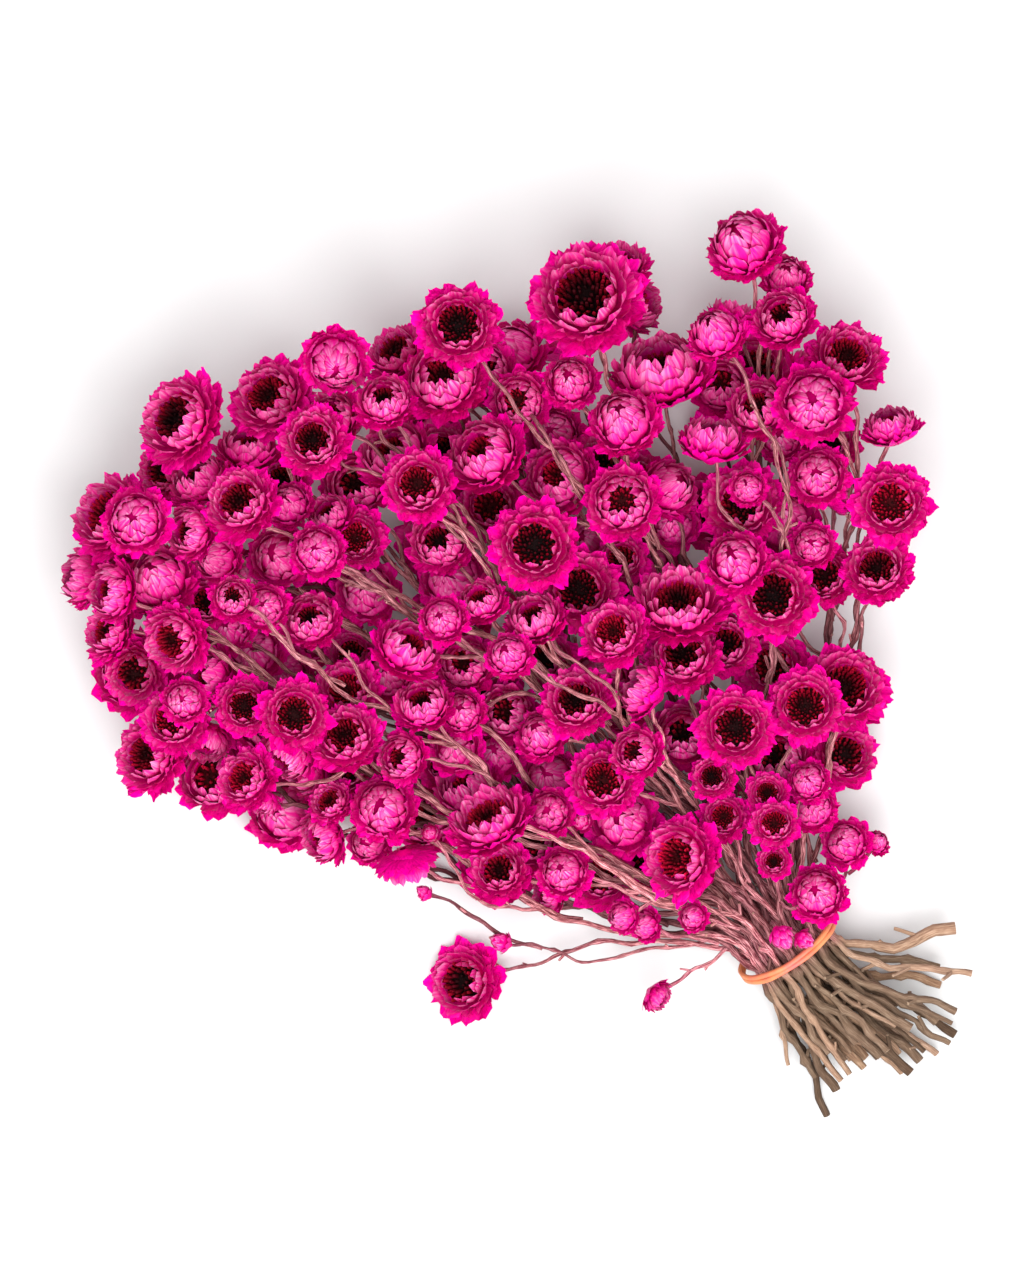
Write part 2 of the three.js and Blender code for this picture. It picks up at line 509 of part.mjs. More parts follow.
// The joints of all stems, and the runs between them. A run knows its spray and the head it ends in
function growStems(sprays) {
  const joints = [];
  const chains = [];
  const random = stream(CUT_SEED);
  const joint = (place, loose) => joints.push({ place: [...place], loose }) - 1;
  const widest = sprays.reduce((best, spray) => (spray.slot[0] > best.slot[0] ? spray : best));
  sprays.forEach((spray, number) => {
    const [aside, up] = spray.slot;
    const length = CUT_LEAST + CUT_SPREAD * random();
    const [strayAside, strayUp] = CUT_STRAY.map((most) => most * (random() - 0.5));
    let cut = [CUT_ASIDE + CUT_FAN * aside + strayAside, -length, CUT_HEIGHT + CUT_RISE * up + strayUp];
    if (spray === widest) {
      cut = [...KNOTTY_CUT];
    }
    const front = [TIE_ASIDE + aside, -TIE_RUN, TIE_HEIGHT + up];
    const back = [TIE_ASIDE + aside, TIE_RUN, TIE_HEIGHT + up];
    const leader = spray.heads[0];
    const neck = neckOf(leader);
    const main = [joint(cut, END_LOOSE), joint(front, 0), joint(back, 0)];
    if (spray.route) {
      spray.route.forEach((place) => main.push(joint(place, ROUTE_LOOSE)));
    } else {
      const parts = Math.max(1, Math.round(size(sub(neck, back)) / STEM_STEP));
      for (let k = 1; k < parts; k++) {
        main.push(joint(mix(back, neck, k / parts), 1));
      }
    }
    main.push(joint(neck, END_LOOSE));
    main.push(joint(rootOf(leader), 0));
    chains.push({ joints: main, spray: number, head: leader, radius: spray.radius, sides: STEM_SIDES });
    const forks = [];
    for (const head of spray.heads.slice(1)) {
      const end = neckOf(head);
      const fork = forkFor(end, main, joints, forks);
      forks.push(fork.place);
      const start = fork.place;
      const twig = [joints.push({ place: [...start], loose: 0, on: fork.on }) - 1];
      const parts = Math.max(1, Math.round(size(sub(end, start)) / TWIG_STEP));
      for (let k = 1; k < parts; k++) {
        twig.push(joint(mix(start, end, k / parts), 1));
      }
      twig.push(joint(end, END_LOOSE));
      twig.push(joint(rootOf(head), 0));
      chains.push({ joints: twig, spray: number, head, radius: TWIG_RADIUS, sides: TWIG_SIDES });
    }
  });
  return { joints, chains };
}

// The closest points of two runs, as shares of their lengths
function closest(a, b, c, d) {
  const first = sub(b, a);
  const second = sub(d, c);
  const between = sub(a, c);
  const aa = dot(first, first);
  const bb = dot(second, second);
  const ab = dot(first, second);
  const fa = dot(first, between);
  const fb = dot(second, between);
  const flat = aa * bb - ab * ab;
  let s = flat > 1e-9 ? clamp((ab * fb - fa * bb) / flat, 0, 1) : 0.5;
  const t = clamp((ab * s + fb) / bb, 0, 1);
  s = clamp((ab * t - fa) / aa, 0, 1);
  return { s, t };
}

// Stems that touch another spray's stems or heads are bent clear of them
function settleStems(joints, chains, heads) {
  const runs = [];
  for (const chain of chains) {
    for (let k = 1; k < chain.joints.length; k++) {
      const last = k === chain.joints.length - 1;
      runs.push({ a: chain.joints[k - 1], b: chain.joints[k], chain, last });
    }
  }
  for (let round = 0; round < STEM_ROUNDS; round++) {
    const ease = round < STEM_ROUNDS * SMOOTH_ROUNDS ? SMOOTHING : 0;
    const moves = joints.map(() => [0, 0, 0]);
    const shift = (run, share, move) => {
      moves[run.a] = add(moves[run.a], move, 1 - share);
      moves[run.b] = add(moves[run.b], move, share);
    };
    for (const run of runs) {
      const a = joints[run.a].place;
      const b = joints[run.b].place;
      for (const head of heads) {
        if (run.last && head === run.chain.head) {
          continue;
        }
        const margin = run.chain.radius + HEAD_CLEAR;
        const wide = head.wide + margin;
        const thick = head.thick + margin;
        if (Math.min(a[0], b[0]) - wide > head.centre[0] || Math.max(a[0], b[0]) + wide < head.centre[0] ||
            Math.min(a[1], b[1]) - wide > head.centre[1] || Math.max(a[1], b[1]) + wide < head.centre[1]) {
          continue;
        }
        const start = sub(a, head.centre);
        const way = sub(b, a);
        const [startAlong, wayAlong] = [dot(start, head.axis), dot(way, head.axis)];
        const flatWay = (dot(way, way) - wayAlong * wayAlong) / (wide * wide);
        const steepWay = (wayAlong * wayAlong) / (thick * thick);
        const flatBoth = (dot(start, way) - startAlong * wayAlong) / (wide * wide);
        const steepBoth = (startAlong * wayAlong) / (thick * thick);
        const share = clamp(-(flatBoth + steepBoth) / (flatWay + steepWay), 0, 1);
        const line = add(start, way, share);
        const along = dot(line, head.axis);
        const off = add(line, head.axis, -along);
        const depth = Math.sqrt(dot(off, off) / (wide * wide) + (along * along) / (thick * thick));
        if (depth < 1) {
          const slope = add(add([0, 0, 0], off, 1 / (wide * wide)), head.axis, along / (thick * thick));
          shift(run, share, add([0, 0, 0], unit(slope), (1 - depth) * thick * CLEAR_PUSH));
        }
      }
    }
    for (let i = 0; i < runs.length; i++) {
      const a = joints[runs[i].a].place;
      const b = joints[runs[i].b].place;
      for (let j = i + 1; j < runs.length; j++) {
        if (runs[i].chain.spray === runs[j].chain.spray) {
          continue;
        }
        const c = joints[runs[j].a].place;
        const d = joints[runs[j].b].place;
        const room = runs[i].chain.radius + runs[j].chain.radius + STEM_GAP;
        if (Math.min(a[0], b[0]) - room > Math.max(c[0], d[0]) ||
            Math.min(c[0], d[0]) - room > Math.max(a[0], b[0]) ||
            Math.min(a[1], b[1]) - room > Math.max(c[1], d[1]) ||
            Math.min(c[1], d[1]) - room > Math.max(a[1], b[1]) ||
            Math.min(a[2], b[2]) - room > Math.max(c[2], d[2]) ||
            Math.min(c[2], d[2]) - room > Math.max(a[2], b[2])) {
          continue;
        }
        const { s, t } = closest(a, b, c, d);
        const line = sub(mix(c, d, t), mix(a, b, s));
        const apart = size(line);
        if (apart < room) {
          const move = add([0, 0, 0], unit(line), (room - apart) * STEM_PUSH);
          shift(runs[i], s, add([0, 0, 0], move, -1));
          shift(runs[j], t, move);
        }
      }
    }
    for (const chain of chains) {
      for (let k = 1; k < chain.joints.length - 1; k++) {
        const [before, here, after] = chain.joints.slice(k - 1, k + 2);
        const middle = mix(joints[before].place, joints[after].place, 0.5);
        moves[here] = add(moves[here], sub(middle, joints[here].place), ease);
      }
    }
    joints.forEach((joint, k) => {
      if (joint.on) {
        return;
      }
      const pace = Math.min(1, STEM_PACE / Math.max(size(moves[k]), 1e-9));
      joint.place = add(joint.place, moves[k], joint.loose * pace);
      if (joint.loose > 0) {
        joint.place[2] = Math.max(joint.place[2], REST_PLANE + STEM_RADIUS - STEM_DIP);
      }
    });
    for (const { place, on } of joints) {
      if (on) {
        mix(joints[on.a].place, joints[on.b].place, on.share).forEach((value, axis) => {
          place[axis] = value;
        });
      }
    }
  }
}

// A path straight from joint to joint, whose steps fall on the joints
class StemPath extends THREE.Curve {
  constructor(places) {
    super();
    this.places = places;
  }
  getUtoTmapping(u) {
    return u;
  }
  getPoint(t, target = new THREE.Vector3()) {
    const spot = clamp(t, 0, 1) * (this.places.length - 1);
    const step = Math.min(Math.floor(spot), this.places.length - 2);
    return target.fromArray(mix(this.places[step], this.places[step + 1], spot - step));
  }
}

// A closed mesh as a solid
function solid(geometry) {
  geometry.deleteAttribute("normal");
  geometry.deleteAttribute("uv");
  const merged = mergeVertices(geometry, 1e-4);
  const index = merged.index.array;
  const corners = [];
  for (let i = 0; i < index.length; i += 3) {
    const [a, b, c] = [index[i], index[i + 1], index[i + 2]];
    if (a !== b && b !== c && a !== c) {
      corners.push(a, b, c);
    }
  }
  return new wasm.Manifold(
    new wasm.Mesh({
      numProp: 3,
      vertProperties: new Float32Array(merged.attributes.position.array),
      triVerts: new Uint32Array(corners),
    }),
  );
}

function stemSolid(places, radius, sides) {
  const outline = new THREE.Shape();
  for (let k = 0; k < sides; k++) {
    const angle = ((k + 0.5) * 2 * Math.PI) / sides;
    outline[k === 0 ? "moveTo" : "lineTo"](radius * Math.cos(angle), radius * Math.sin(angle));
  }
  outline.closePath();
  const path = new StemPath(places);
  const geometry = new THREE.ExtrudeGeometry(outline, {
    steps: places.length - 1,
    bevelEnabled: false,
    extrudePath: path,
  });
  const tip = new THREE.Vector3(...places[places.length - 1]);
  const corners = geometry.getAttribute("position");
  const corner = new THREE.Vector3();
  for (let i = 0; i < corners.count; i++) {
    corner.fromBufferAttribute(corners, i);
    if (corner.distanceTo(tip) < 1.1 * radius) {
      corners.setXYZ(i, tip.x, tip.y, tip.z);
    }
  }
  return solid(geometry);
}

// Two columns of a head make one bract tip
function columnsFor(head) {
  if (head.kind === "B" || head.level < DEEP_LEVEL) {
    return LEAST_COLUMNS;
  }
  if (head.radius >= LARGE_HEAD) {
    return LARGE_COLUMNS;
  }
  return head.radius >= SMALL_HEAD ? MIDDLE_COLUMNS : SMALL_COLUMNS;
}

// A head is a turned profile with notches round its rims. The valley inside the outer rim is left out of
// small and hidden heads
function headSolid(head, number) {
  const columns = columnsFor(head);
  const layered = head.radius >= SMALL_HEAD && head.level > HIDDEN_LEVEL;
  const rows = PROFILES[head.kind].filter((_, k) => k !== VALLEY_ROW || layered);
  const profile = rows.map(([out, high]) => new THREE.Vector2(out * head.radius, high * head.radius));
  const geometry = new THREE.LatheGeometry(profile, columns);
  const place = geometry.getAttribute("position");
  for (let i = 0; i < place.count; i++) {
    const [, , notch, turned] = rows[i % rows.length];
    const column = Math.floor(i / rows.length);
    const inNotch = (column + turned) % 2;
    const share = 1 - notch * inNotch;
    const aside = i % rows.length === 0 ? BASE_ASIDE * head.radius : 0;
    const drop = NOTCH_DROP * notch * inNotch * head.radius;
    place.setXYZ(i, place.getX(i) * share + aside, place.getY(i) - drop, place.getZ(i) * share);
  }
  geometry.rotateY(number * HEAD_TWIST);
  const up = new THREE.Vector3(0, 1, 0);
  const turn = new THREE.Quaternion().setFromUnitVectors(up, new THREE.Vector3(...head.axis));
  geometry.applyQuaternion(turn);
  geometry.translate(...head.centre);
  return solid(geometry);
}

// The rubber band: a ring round the bundle, pressed oval and slanted, with rounded edges
function bandSolid() {
  const half = BAND_WIDE / 2;
  const inner = 1;
  const outer = inner + BAND_THICK;
  const outline = [
    [inner, -half],
    [outer - BAND_SOFT, -half],
    [outer, -half + BAND_SOFT],
    [outer, half - BAND_SOFT],
    [outer - BAND_SOFT, half],
    [inner, half],
    [inner, -half],
  ];
  const profile = outline.map(([out, high]) => new THREE.Vector2(out, high));
  const geometry = new THREE.LatheGeometry(profile, BAND_SIDES);
  const place = geometry.getAttribute("position");
  const flats = 1 / Math.cos(Math.PI / BAND_SIDES);
  const wide = BUNDLE_WIDE + BAND_GAP;
  const high = BUNDLE_HIGH + BAND_GAP;
  for (let i = 0; i < place.count; i++) {
    const out = Math.hypot(place.getX(i), place.getZ(i));
    const [x, z] = [place.getX(i) / out, place.getZ(i) / out];
    const proud = out - inner;
    const up = z * (high * flats + proud);
    const across = x * (wide * flats + proud);
    place.setXYZ(i, TIE_ASIDE + across, place.getY(i) - BAND_SLANT * up, TIE_HEIGHT + up);
  }
  return solid(geometry);
}

// Lay out the bunch
const strays = STRAYS.map(({ route, radius, heads }) => ({ route, radius, heads: heads.map(headOf) }));
const filling = FILLINGS.flatMap((each) => fillingHeads(HEADS, each));
const free = [...HEADS, ...filling, ...UNDER_HEADS].map(headOf);
const heads = [...free, ...strays.flatMap((stray) => stray.heads)];
settleHeads(heads);
const sprays = [...gatherSprays(free), ...strays];
placeSlots(sprays);
const { joints, chains } = growStems(sprays);
settleStems(joints, chains, heads);

// Build the sprays
const bunch = new THREE.Group();
const floor = new THREE.BoxGeometry(FLOOR_SIDE, FLOOR_SIDE, FLOOR_THICK);
floor.translate(0, 0, REST_PLANE - FLOOR_THICK / 2);
const below = solid(floor);
let headNumber = 0;

function meshOf(body, name, material) {
  const made = body.getMesh();
  const geometry = new THREE.BufferGeometry();
  geometry.setAttribute("position", new THREE.BufferAttribute(made.vertProperties, 3));
  geometry.setIndex(new THREE.BufferAttribute(made.triVerts, 1));
  geometry.computeVertexNormals();
  const mesh = new THREE.Mesh(geometry, material);
  mesh.name = name;
  return mesh;
}

sprays.forEach((spray, number) => {
  let body = null;
  for (const chain of chains.filter((each) => each.spray === number)) {
    const places = chain.joints.map((k) => joints[k].place);
    const stem = stemSolid(places, chain.radius, chain.sides);
    body = body ? body.add(stem) : stem;
  }
  for (const head of spray.heads) {
    body = body.add(headSolid(head, headNumber));
    headNumber += 1;
  }
  const whole = body.subtract(below).decompose().sort((p, q) => q.volume() - p.volume())[0];
  const name = "spray_" + String(number + 1).padStart(2, "0");
  const bracts = new THREE.MeshStandardMaterial({ color: BRACT_COLOUR, roughness: 0.55 });
  bunch.add(meshOf(whole, name, bracts));
});

const rubber = new THREE.MeshStandardMaterial({ color: RUBBER_COLOUR, roughness: 0.5 });
bunch.add(meshOf(bandSolid(), "rubber_band", rubber));

// The origin lies on the surface, under the middle of the bunch
const whole = new THREE.Box3().setFromObject(bunch);
const middle = whole.getCenter(new THREE.Vector3());
bunch.position.set(-middle.x, -middle.y, -REST_PLANE);

export default bunch;
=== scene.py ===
import math

import bpy
import numpy as np
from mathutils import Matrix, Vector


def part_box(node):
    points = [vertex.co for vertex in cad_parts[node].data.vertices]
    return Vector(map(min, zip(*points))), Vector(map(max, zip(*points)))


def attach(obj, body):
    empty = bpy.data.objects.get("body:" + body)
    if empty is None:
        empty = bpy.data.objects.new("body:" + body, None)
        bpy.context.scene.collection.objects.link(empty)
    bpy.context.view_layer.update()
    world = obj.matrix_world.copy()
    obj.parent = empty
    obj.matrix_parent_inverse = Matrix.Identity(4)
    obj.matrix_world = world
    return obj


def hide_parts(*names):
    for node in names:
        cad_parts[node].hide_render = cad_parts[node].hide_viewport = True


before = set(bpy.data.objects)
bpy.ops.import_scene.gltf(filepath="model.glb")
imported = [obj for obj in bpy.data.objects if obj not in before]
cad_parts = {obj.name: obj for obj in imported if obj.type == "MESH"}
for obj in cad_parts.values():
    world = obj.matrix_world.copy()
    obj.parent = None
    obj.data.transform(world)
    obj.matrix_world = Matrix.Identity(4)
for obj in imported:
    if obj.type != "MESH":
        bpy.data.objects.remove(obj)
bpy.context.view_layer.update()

# Sizes of the bunch, in millimetres. Heads that others cover are drawn by what shows of them, and grow by
# a larger factor
TIE_ASIDE = 1.5
TIE_HEIGHT = 15
BUNDLE_WIDE = 15.2
BUNDLE_HIGH = 11.3
FAN_LENGTH = 190
TIE_HALF_WIDTH = 16
FAN_HALF_WIDTH = 134
TIE_HALF_HEIGHT = 14
FAN_HALF_HEIGHT = 45
FAN_SWELL = 0.7
FAN_MIDDLE = 150
FAN_REACH = 118
FLANK_MOST = 0.93
END_MOST = 0.85
SPAN_LEAST = 2
COVERED_LEVEL = 3
COVERED_GROWTH = 1.38
MIDDLE_LEVEL = 7
MIDDLE_GROWTH = 1.26
TOP_GROWTH = 1.09
LEVEL_MIDDLE = 5

# Sizes of the stems
STEM_RADIUS = 1.45
TWIG_RADIUS = 1
STEM_STEP = 40
TWIG_STEP = 28
TIE_RUN = 8
CUT_LEAST = 29
CUT_SPREAD = 24
CUT_ASIDE = 11
CUT_STRAY = (17, 9)
CUT_FAN = 2.0
CUT_HEIGHT = 10.5
CUT_RISE = 0.72
KNOTTY_CUT = (46, -25, 11)
NECK = 2.2
ROOT_DEPTH = 0.1

# Each kind of head has its width and its thickness as shares of the radius
BODY = {"O": (1, 0.47), "H": (0.97, 0.64), "C": (0.95, 0.67), "B": (0.9, 1)}

# Clearances
HEAD_GAP = 0.9
STEM_GAP = 0.85
HEAD_CLEAR = 1.1
FLOOR_DIP = 0.9
STEM_DIP = 0.6
REST_PLANE = 1.7

# Heads that fill the bunch stand on two grids with drawn offsets: one in the gaps between the heads above,
# and one beneath
FILLINGS = (
    {
        "seed": 29, "step": 11, "rows": 16, "columns": 11, "room": 5, "share": 0.33, "apart": 15,
        "levels": (3.2, 4.6),
        "sizes": (15, 18),
    },
    {
        "seed": 31, "step": 22.5, "rows": 8, "columns": 6, "room": 0, "share": 0, "apart": 23,
        "levels": (1.9, 2.9),
        "sizes": (20, 25),
    },
)
FILL_START = 50
FILL_OFFSET = 0.4
FILL_KINDS = "OHC"
FILL_TILT = 20
FILL_LEAN = 120
FILL_AROUND = 30
FILL_NEIGHBOURS = 8

# How the heads settle
HEAD_ROUNDS = 220
HEAD_PUSH = 0.3
HEAD_SIDEWAYS = 0.35
HEAD_LIFT = 0.4
HOME_PULL = 0.04

# How heads gather into sprays
SPRAY_REACH = 25
SPRAY_CROWD = 3.5
SPRAY_MOST = 6
SPRAY_NEAR = 12

# How the stems share the band, and where twigs leave them
SLOT_PITCH = 3.35
SLOT_ROUNDS = 400
SLOT_FAN = 1.15
SLOT_RISE = 3.4
SLOT_SLOPE = 0.165
SLOT_PULL = 0.3
FORK_SHARES = (0.2, 0.5, 0.8)
FORK_APART = 6
FORK_SLANT = 0.6
TWIG_LEAST = 11
CUT_SEED = 71

# How the stems settle
STEM_ROUNDS = 480
END_LOOSE = 0.6
ROUTE_LOOSE = 0.5
CLEAR_PUSH = 0.6
STEM_PUSH = 0.5
STEM_PACE = 3
SMOOTHING = 0.05
SMOOTH_ROUNDS = 0.7
TINY = 1e-9

# Repeatable draws
DRAW_FACTOR = 16807
DRAW_MODULUS = 2147483647

# Each row is a head: x, y, diameter, kind, lean in x, lean in y, tilt in degrees, level from 0 at the
# underside to 10 at the top. The kinds are O open, H half open, C closed with a skirt and B a bud.
# The origin of x and y is the middle of the band, and y runs from the cut ends to the heads.
HEADS = [
    (-57.5, 234, 24, "O", -0.5, 0.85, 45, 6), (-70, 225, 15, "O", -0.6, 0.8, 40, 3),
    (-91, 223, 22, "O", -0.4, 0.9, 50, 6), (-85, 216.5, 19, "C", 0, 1, 10, 9.5),
    (-108, 212.5, 15, "H", -0.7, 0.7, 70, 6), (-103, 203.5, 15, "H", -0.7, 0.6, 55, 6.5),
    (-89.5, 198, 18, "C", 0, 1, 35, 6), (-110.5, 194.5, 16, "O", -0.5, 0.8, 55, 6),
    (-112, 180, 15, "O", -1, 0, 25, 3), (-96, 181, 21, "O", -1, 0.2, 40, 9),
    (-72.5, 194, 13, "C", -0.6, 0.6, 40, 6), (-73.5, 204.5, 14, "H", -0.6, 0.5, 45, 6.5),
    (-63, 216, 18, "H", 0, 1, 60, 7), (-56.5, 203, 22, "O", -0.2, 1, 35, 9),
    (-45, 215, 14, "H", 0.6, 0.8, 60, 3), (-43, 203, 13, "O", 0, 1, 20, 3),
    (-45, 194.5, 12, "C", 0, 1, 30, 6), (-31.5, 223, 21, "O", -0.3, 1, 35, 6),
    (-28, 205.5, 20, "O", 0, 1, 20, 9), (-74.5, 181, 13, "H", 0.5, 0.5, 20, 9),
    (-82, 185, 12, "O", 0, 1, 15, 3), (-68.5, 173.5, 14, "C", 0, 1, 10, 9),
    (-46, 178, 16, "C", 0, 1, 10, 9), (-37, 185, 12, "H", 0, 1, 45, 6),
    (-34.5, 175, 15, "O", 0, 1, 10, 5), (-65.5, 184, 12, "C", 0, 1, 15, 3),
    (-82, 174, 12, "C", 0, 1, 15, 3), (-9.5, 220.5, 19, "C", -0.4, -0.8, 20, 9),
    (-20, 209, 15, "H", 0, 1, 35, 6), (-4, 203.5, 17, "H", 0.4, 0.9, 35, 8.5),
    (7.5, 214, 15, "O", 0, 1, 50, 3), (27, 209, 23, "O", 0, 1, 10, 9),
    (14.5, 199, 21, "H", 0.2, 1, 30, 6), (36.5, 194.5, 15, "C", -0.3, 0.9, 40, 3),
    (63, 194.5, 32, "O", 0.1, 1, 25, 9), (77, 197, 14, "O", 0.5, 0.8, 50, 3),
    (75, 184.5, 14, "H", 0.8, -0.3, 60, 3), (29, 180.5, 15, "H", -0.3, 0.5, 15, 5),
    (45, 176.5, 13.5, "C", 0.1, 0.5, 20, 6), (-10, 177, 21, "O", 0, 0.5, 15, 9),
    (-10.5, 189, 19, "H", 0, 1, 45, 6), (11.5, 173.5, 20, "H", -0.2, 1, 40, 6),
    (111, 180.5, 22, "C", 0, 1, 40, 9), (69, 163.5, 25, "H", 0.4, 0.9, 60, 6),
    (88.5, 163, 17, "C", 0.1, 1, 45, 9), (116, 165, 12, "C", 0.4, 0.6, 30, 6),
    (108, 155.5, 18, "H", 0, 1, 30, 9), (93, 147.5, 17, "O", 0, 1, 10, 3),
    (86.5, 138, 16, "H", 0, 1, 35, 6), (100.5, 129.5, 22, "C", 0, 1, 5, 9),
    (117, 135, 19, "O", 0.7, 0.5, 30, 6), (87.5, 126.5, 11, "C", 0, 1, 15, 3),
    (69.5, 137.5, 19, "H", 0.6, 0.7, 70, 8.5), (70, 120, 11, "C", 0, 1, 15, 9.5),
    (66, 117, 20, "O", 0, 1, 15, 5.5), (89.5, 111, 17, "C", 0, 1, 10, 9),
    (116, 110.5, 14, "H", 0.4, 0.9, 65, 6), (102.5, 91.5, 22, "O", 0, 1, 8, 9),
    (76, 95, 13, "C", 0, 1, 10, 9), (74.5, 85, 14, "O", 0, 1, 15, 3),
    (88, 78, 20, "O", 0.2, 0.8, 25, 8.5), (58, 89.5, 24, "O", 0, 1, 10, 9),
    (-14.5, 159.5, 16, "H", 0, 1, 25, 5.5), (4, 159.5, 16, "O", 0, 1, 15, 3),
    (8, 142.5, 24, "O", 0, 1, 5, 9), (26, 155, 19, "H", -0.3, 0.9, 30, 6),
    (32, 166.5, 14, "C", 0, 1, 15, 3), (51, 157.5, 20, "C", 0.1, 0.8, 30, 9),
    (37, 138, 21, "H", 0, 1, 10, 9), (51, 133.5, 14, "C", 1, 0, 40, 3),
    (-14.5, 138, 14, "H", 0.2, 1, 40, 8.5), (21.5, 135, 12, "C", 0, 1, 15, 3),
    (-4.5, 124.5, 17, "H", 0.2, 1, 45, 8.5), (-17, 120, 13.5, "C", 0, 0.6, 25, 9),
    (11.5, 124, 20, "O", 0, 1, 10, 6), (27, 124, 12, "O", 0, 1, 15, 3),
    (24, 117.5, 12, "O", 0, 1, 15, 3), (-8.5, 112.5, 14, "O", 0, 1, 15, 3),
    (12.5, 107.5, 20, "O", 0, 1, 30, 9), (33.5, 103.5, 27, "O", 0.5, 0.85, 45, 9),
    (54.5, 104, 18, "C", 0, 0.7, 25, 9.5), (-8.5, 97, 18, "O", 0.1, 0.9, 25, 6),
    (-23, 95, 13, "C", 0, 0.7, 30, 6), (10, 88.5, 17, "H", -0.5, 0.85, 75, 9),
    (26, 90, 19, "O", 0, 0.8, 25, 6), (1.5, 86.5, 12, "O", 0, 1, 15, 3),
    (46, 124, 12, "C", 0, 1, 15, 3), (-123, 157.5, 20, "O", -0.6, 0.7, 40, 6),
    (-110, 161.5, 17, "O", 0, 1, 20, 6), (-104, 164.5, 13, "C", 0, 1, 10, 9),
    (-106, 151, 12, "H", -0.5, -0.5, 60, 3), (-90.5, 153, 17, "O", 0, 1, 5, 9),
    (-79.5, 142, 20, "O", 0, 1, 5, 9), (-102.5, 135, 16, "O", -0.4, 0.8, 35, 6),
    (-103, 127, 9, "H", -0.8, -0.4, 70, 3), (-71, 128, 21, "O", 0.1, 1, 30, 9),
    (-63, 139, 17, "O", 0, 1, 25, 6), (-59.5, 162.5, 17, "H", 0.2, 1, 30, 9),
    (-55.5, 147.5, 12, "O", 0, 1, 15, 3), (-40.5, 139, 20, "H", 0.9, 0.4, 50, 9),
    (-27, 140, 14, "C", 0, 0.5, 15, 9), (-46.5, 122.5, 15, "H", 0.3, 0.9, 40, 6),
    (-39, 114, 12, "C", 0, 1, 15, 6), (-60.5, 113.5, 15, "H", -0.7, 0.6, 30, 9),
    (-74, 104, 19, "C", 0, 1, 15, 9), (-86, 114.5, 12, "O", -0.2, 0.9, 40, 6),
    (-94, 107.5, 14, "H", -0.9, 0.2, 60, 6), (-84, 98, 10, "C", -0.7, 0.5, 20, 3),
    (-78, 86, 14, "O", -0.3, -0.9, 112, 3), (-50, 83, 25, "O", 0.1, 1, 55, 9),
    (-50, 95, 16, "H", 0, 1, 50, 3), (-52, 103, 12, "O", 0, 1, 15, 3),
    (-46, 106, 12, "C", 0, 1, 15, 3), (-38, 98, 12, "C", 0, 1, 15, 3),
    (-88, 134, 14, "H", -0.8, -0.2, 60, 3), (-87, 127, 13, "H", -0.6, 0.2, 60, 3),
    (-41, 160, 15, "C", 0, 1, 15, 3), (-94, 166, 14, "H", -0.5, 0.5, 60, 3),
    (-79, 165, 14, "C", 0, 1, 15, 3), (-75, 156, 14, "C", 0, 1, 15, 3),
    (-50, 136, 13, "C", 0, 1, 15, 3), (-15.5, 73, 21, "O", 0, 0.6, 15, 8.5),
    (-2.5, 74.5, 15, "H", -0.5, 0.7, 25, 9.5), (26, 63.5, 22, "O", 0, 1, 5, 9),
    (47, 56.5, 21, "O", 0, 1, 10, 9), (60, 54, 21, "O", 0.6, 0.3, 20, 6),
    (48.5, 37.5, 17, "O", 0.4, 0, 20, 4), (34.5, 37.5, 11, "C", 0, 1, 15, 6),
    (31.5, 30.5, 12.5, "C", 0, 1, 15, 6.5), (18, 8, 16.5, "C", 0, 1, 15, 10),
    (-10, 41, 24, "O", -0.6, 0.6, 35, 9), (8, 43, 14, "O", 0, 1, 15, 7),
    (12, 55, 11, "O", 0, 1, 15, 6.5), (23, 41.5, 12, "O", 0.3, 0.6, 15, 7),
    (19, 33, 14, "O", 0.2, 0.8, 15, 8), (12.5, 23.5, 10, "O", 0, 1, 15, 8.5),
    (46, 71.5, 16, "O", 0, 1, 15, 3), (-56.5, 68.5, 14, "O", 0, 1, 30, 3),
    (-34, 74.5, 12, "C", 0, 1, 10, 6), (-41, 57.5, 13, "C", 0, 1, 15, 6),
    (-48.5, 54.5, 10, "H", -0.8, 0.3, 60, 3), (-17, 24, 9, "C", -0.5, 0.5, 30, 8.5),
    (-28, 67, 6, "B", 0, 1, 20, 6), (-67, 90, 6, "B", -0.4, 0.8, 20, 7),
    (-30, 30, 10, "C", -0.6, 0.5, 40, 7), (-34, 36, 10, "C", -0.7, 0.5, 40, 7),
]

# Heads of the underside and the flanks, which the ones above hide from over the bunch
UNDER_HEADS = [
    (-92, 205, 17, "O", -0.5, 0.8, 100, 0.5), (-62, 215, 18, "H", -0.2, 1, 95, 1),
    (-22, 205, 17, "O", 0, 1, 105, 0.5), (18, 200, 18, "H", 0.2, 1, 95, 1),
    (52, 186, 19, "O", 0.3, 0.9, 100, 0.5), (97, 165, 17, "O", 0.7, 0.6, 95, 1),
    (106, 138, 16, "H", 0.9, 0.2, 95, 1), (-104, 172, 16, "O", -0.9, 0.3, 100, 1),
    (-96, 143, 16, "H", -0.9, 0, 100, 1), (-75, 180, 16, "O", -0.3, 0.3, 130, 0),
    (0, 172, 17, "O", 0, 0.3, 135, 0), (20, 126, 15, "H", 0.1, 0.1, 140, 0),
    (74, 140, 16, "O", 0.3, 0.2, 130, 0), (58, 106, 15, "O", 0.4, 0, 120, 0),
    (-56, 108, 15, "O", -0.4, 0, 120, 0), (92, 104, 15, "H", 0.8, -0.1, 95, 1),
]

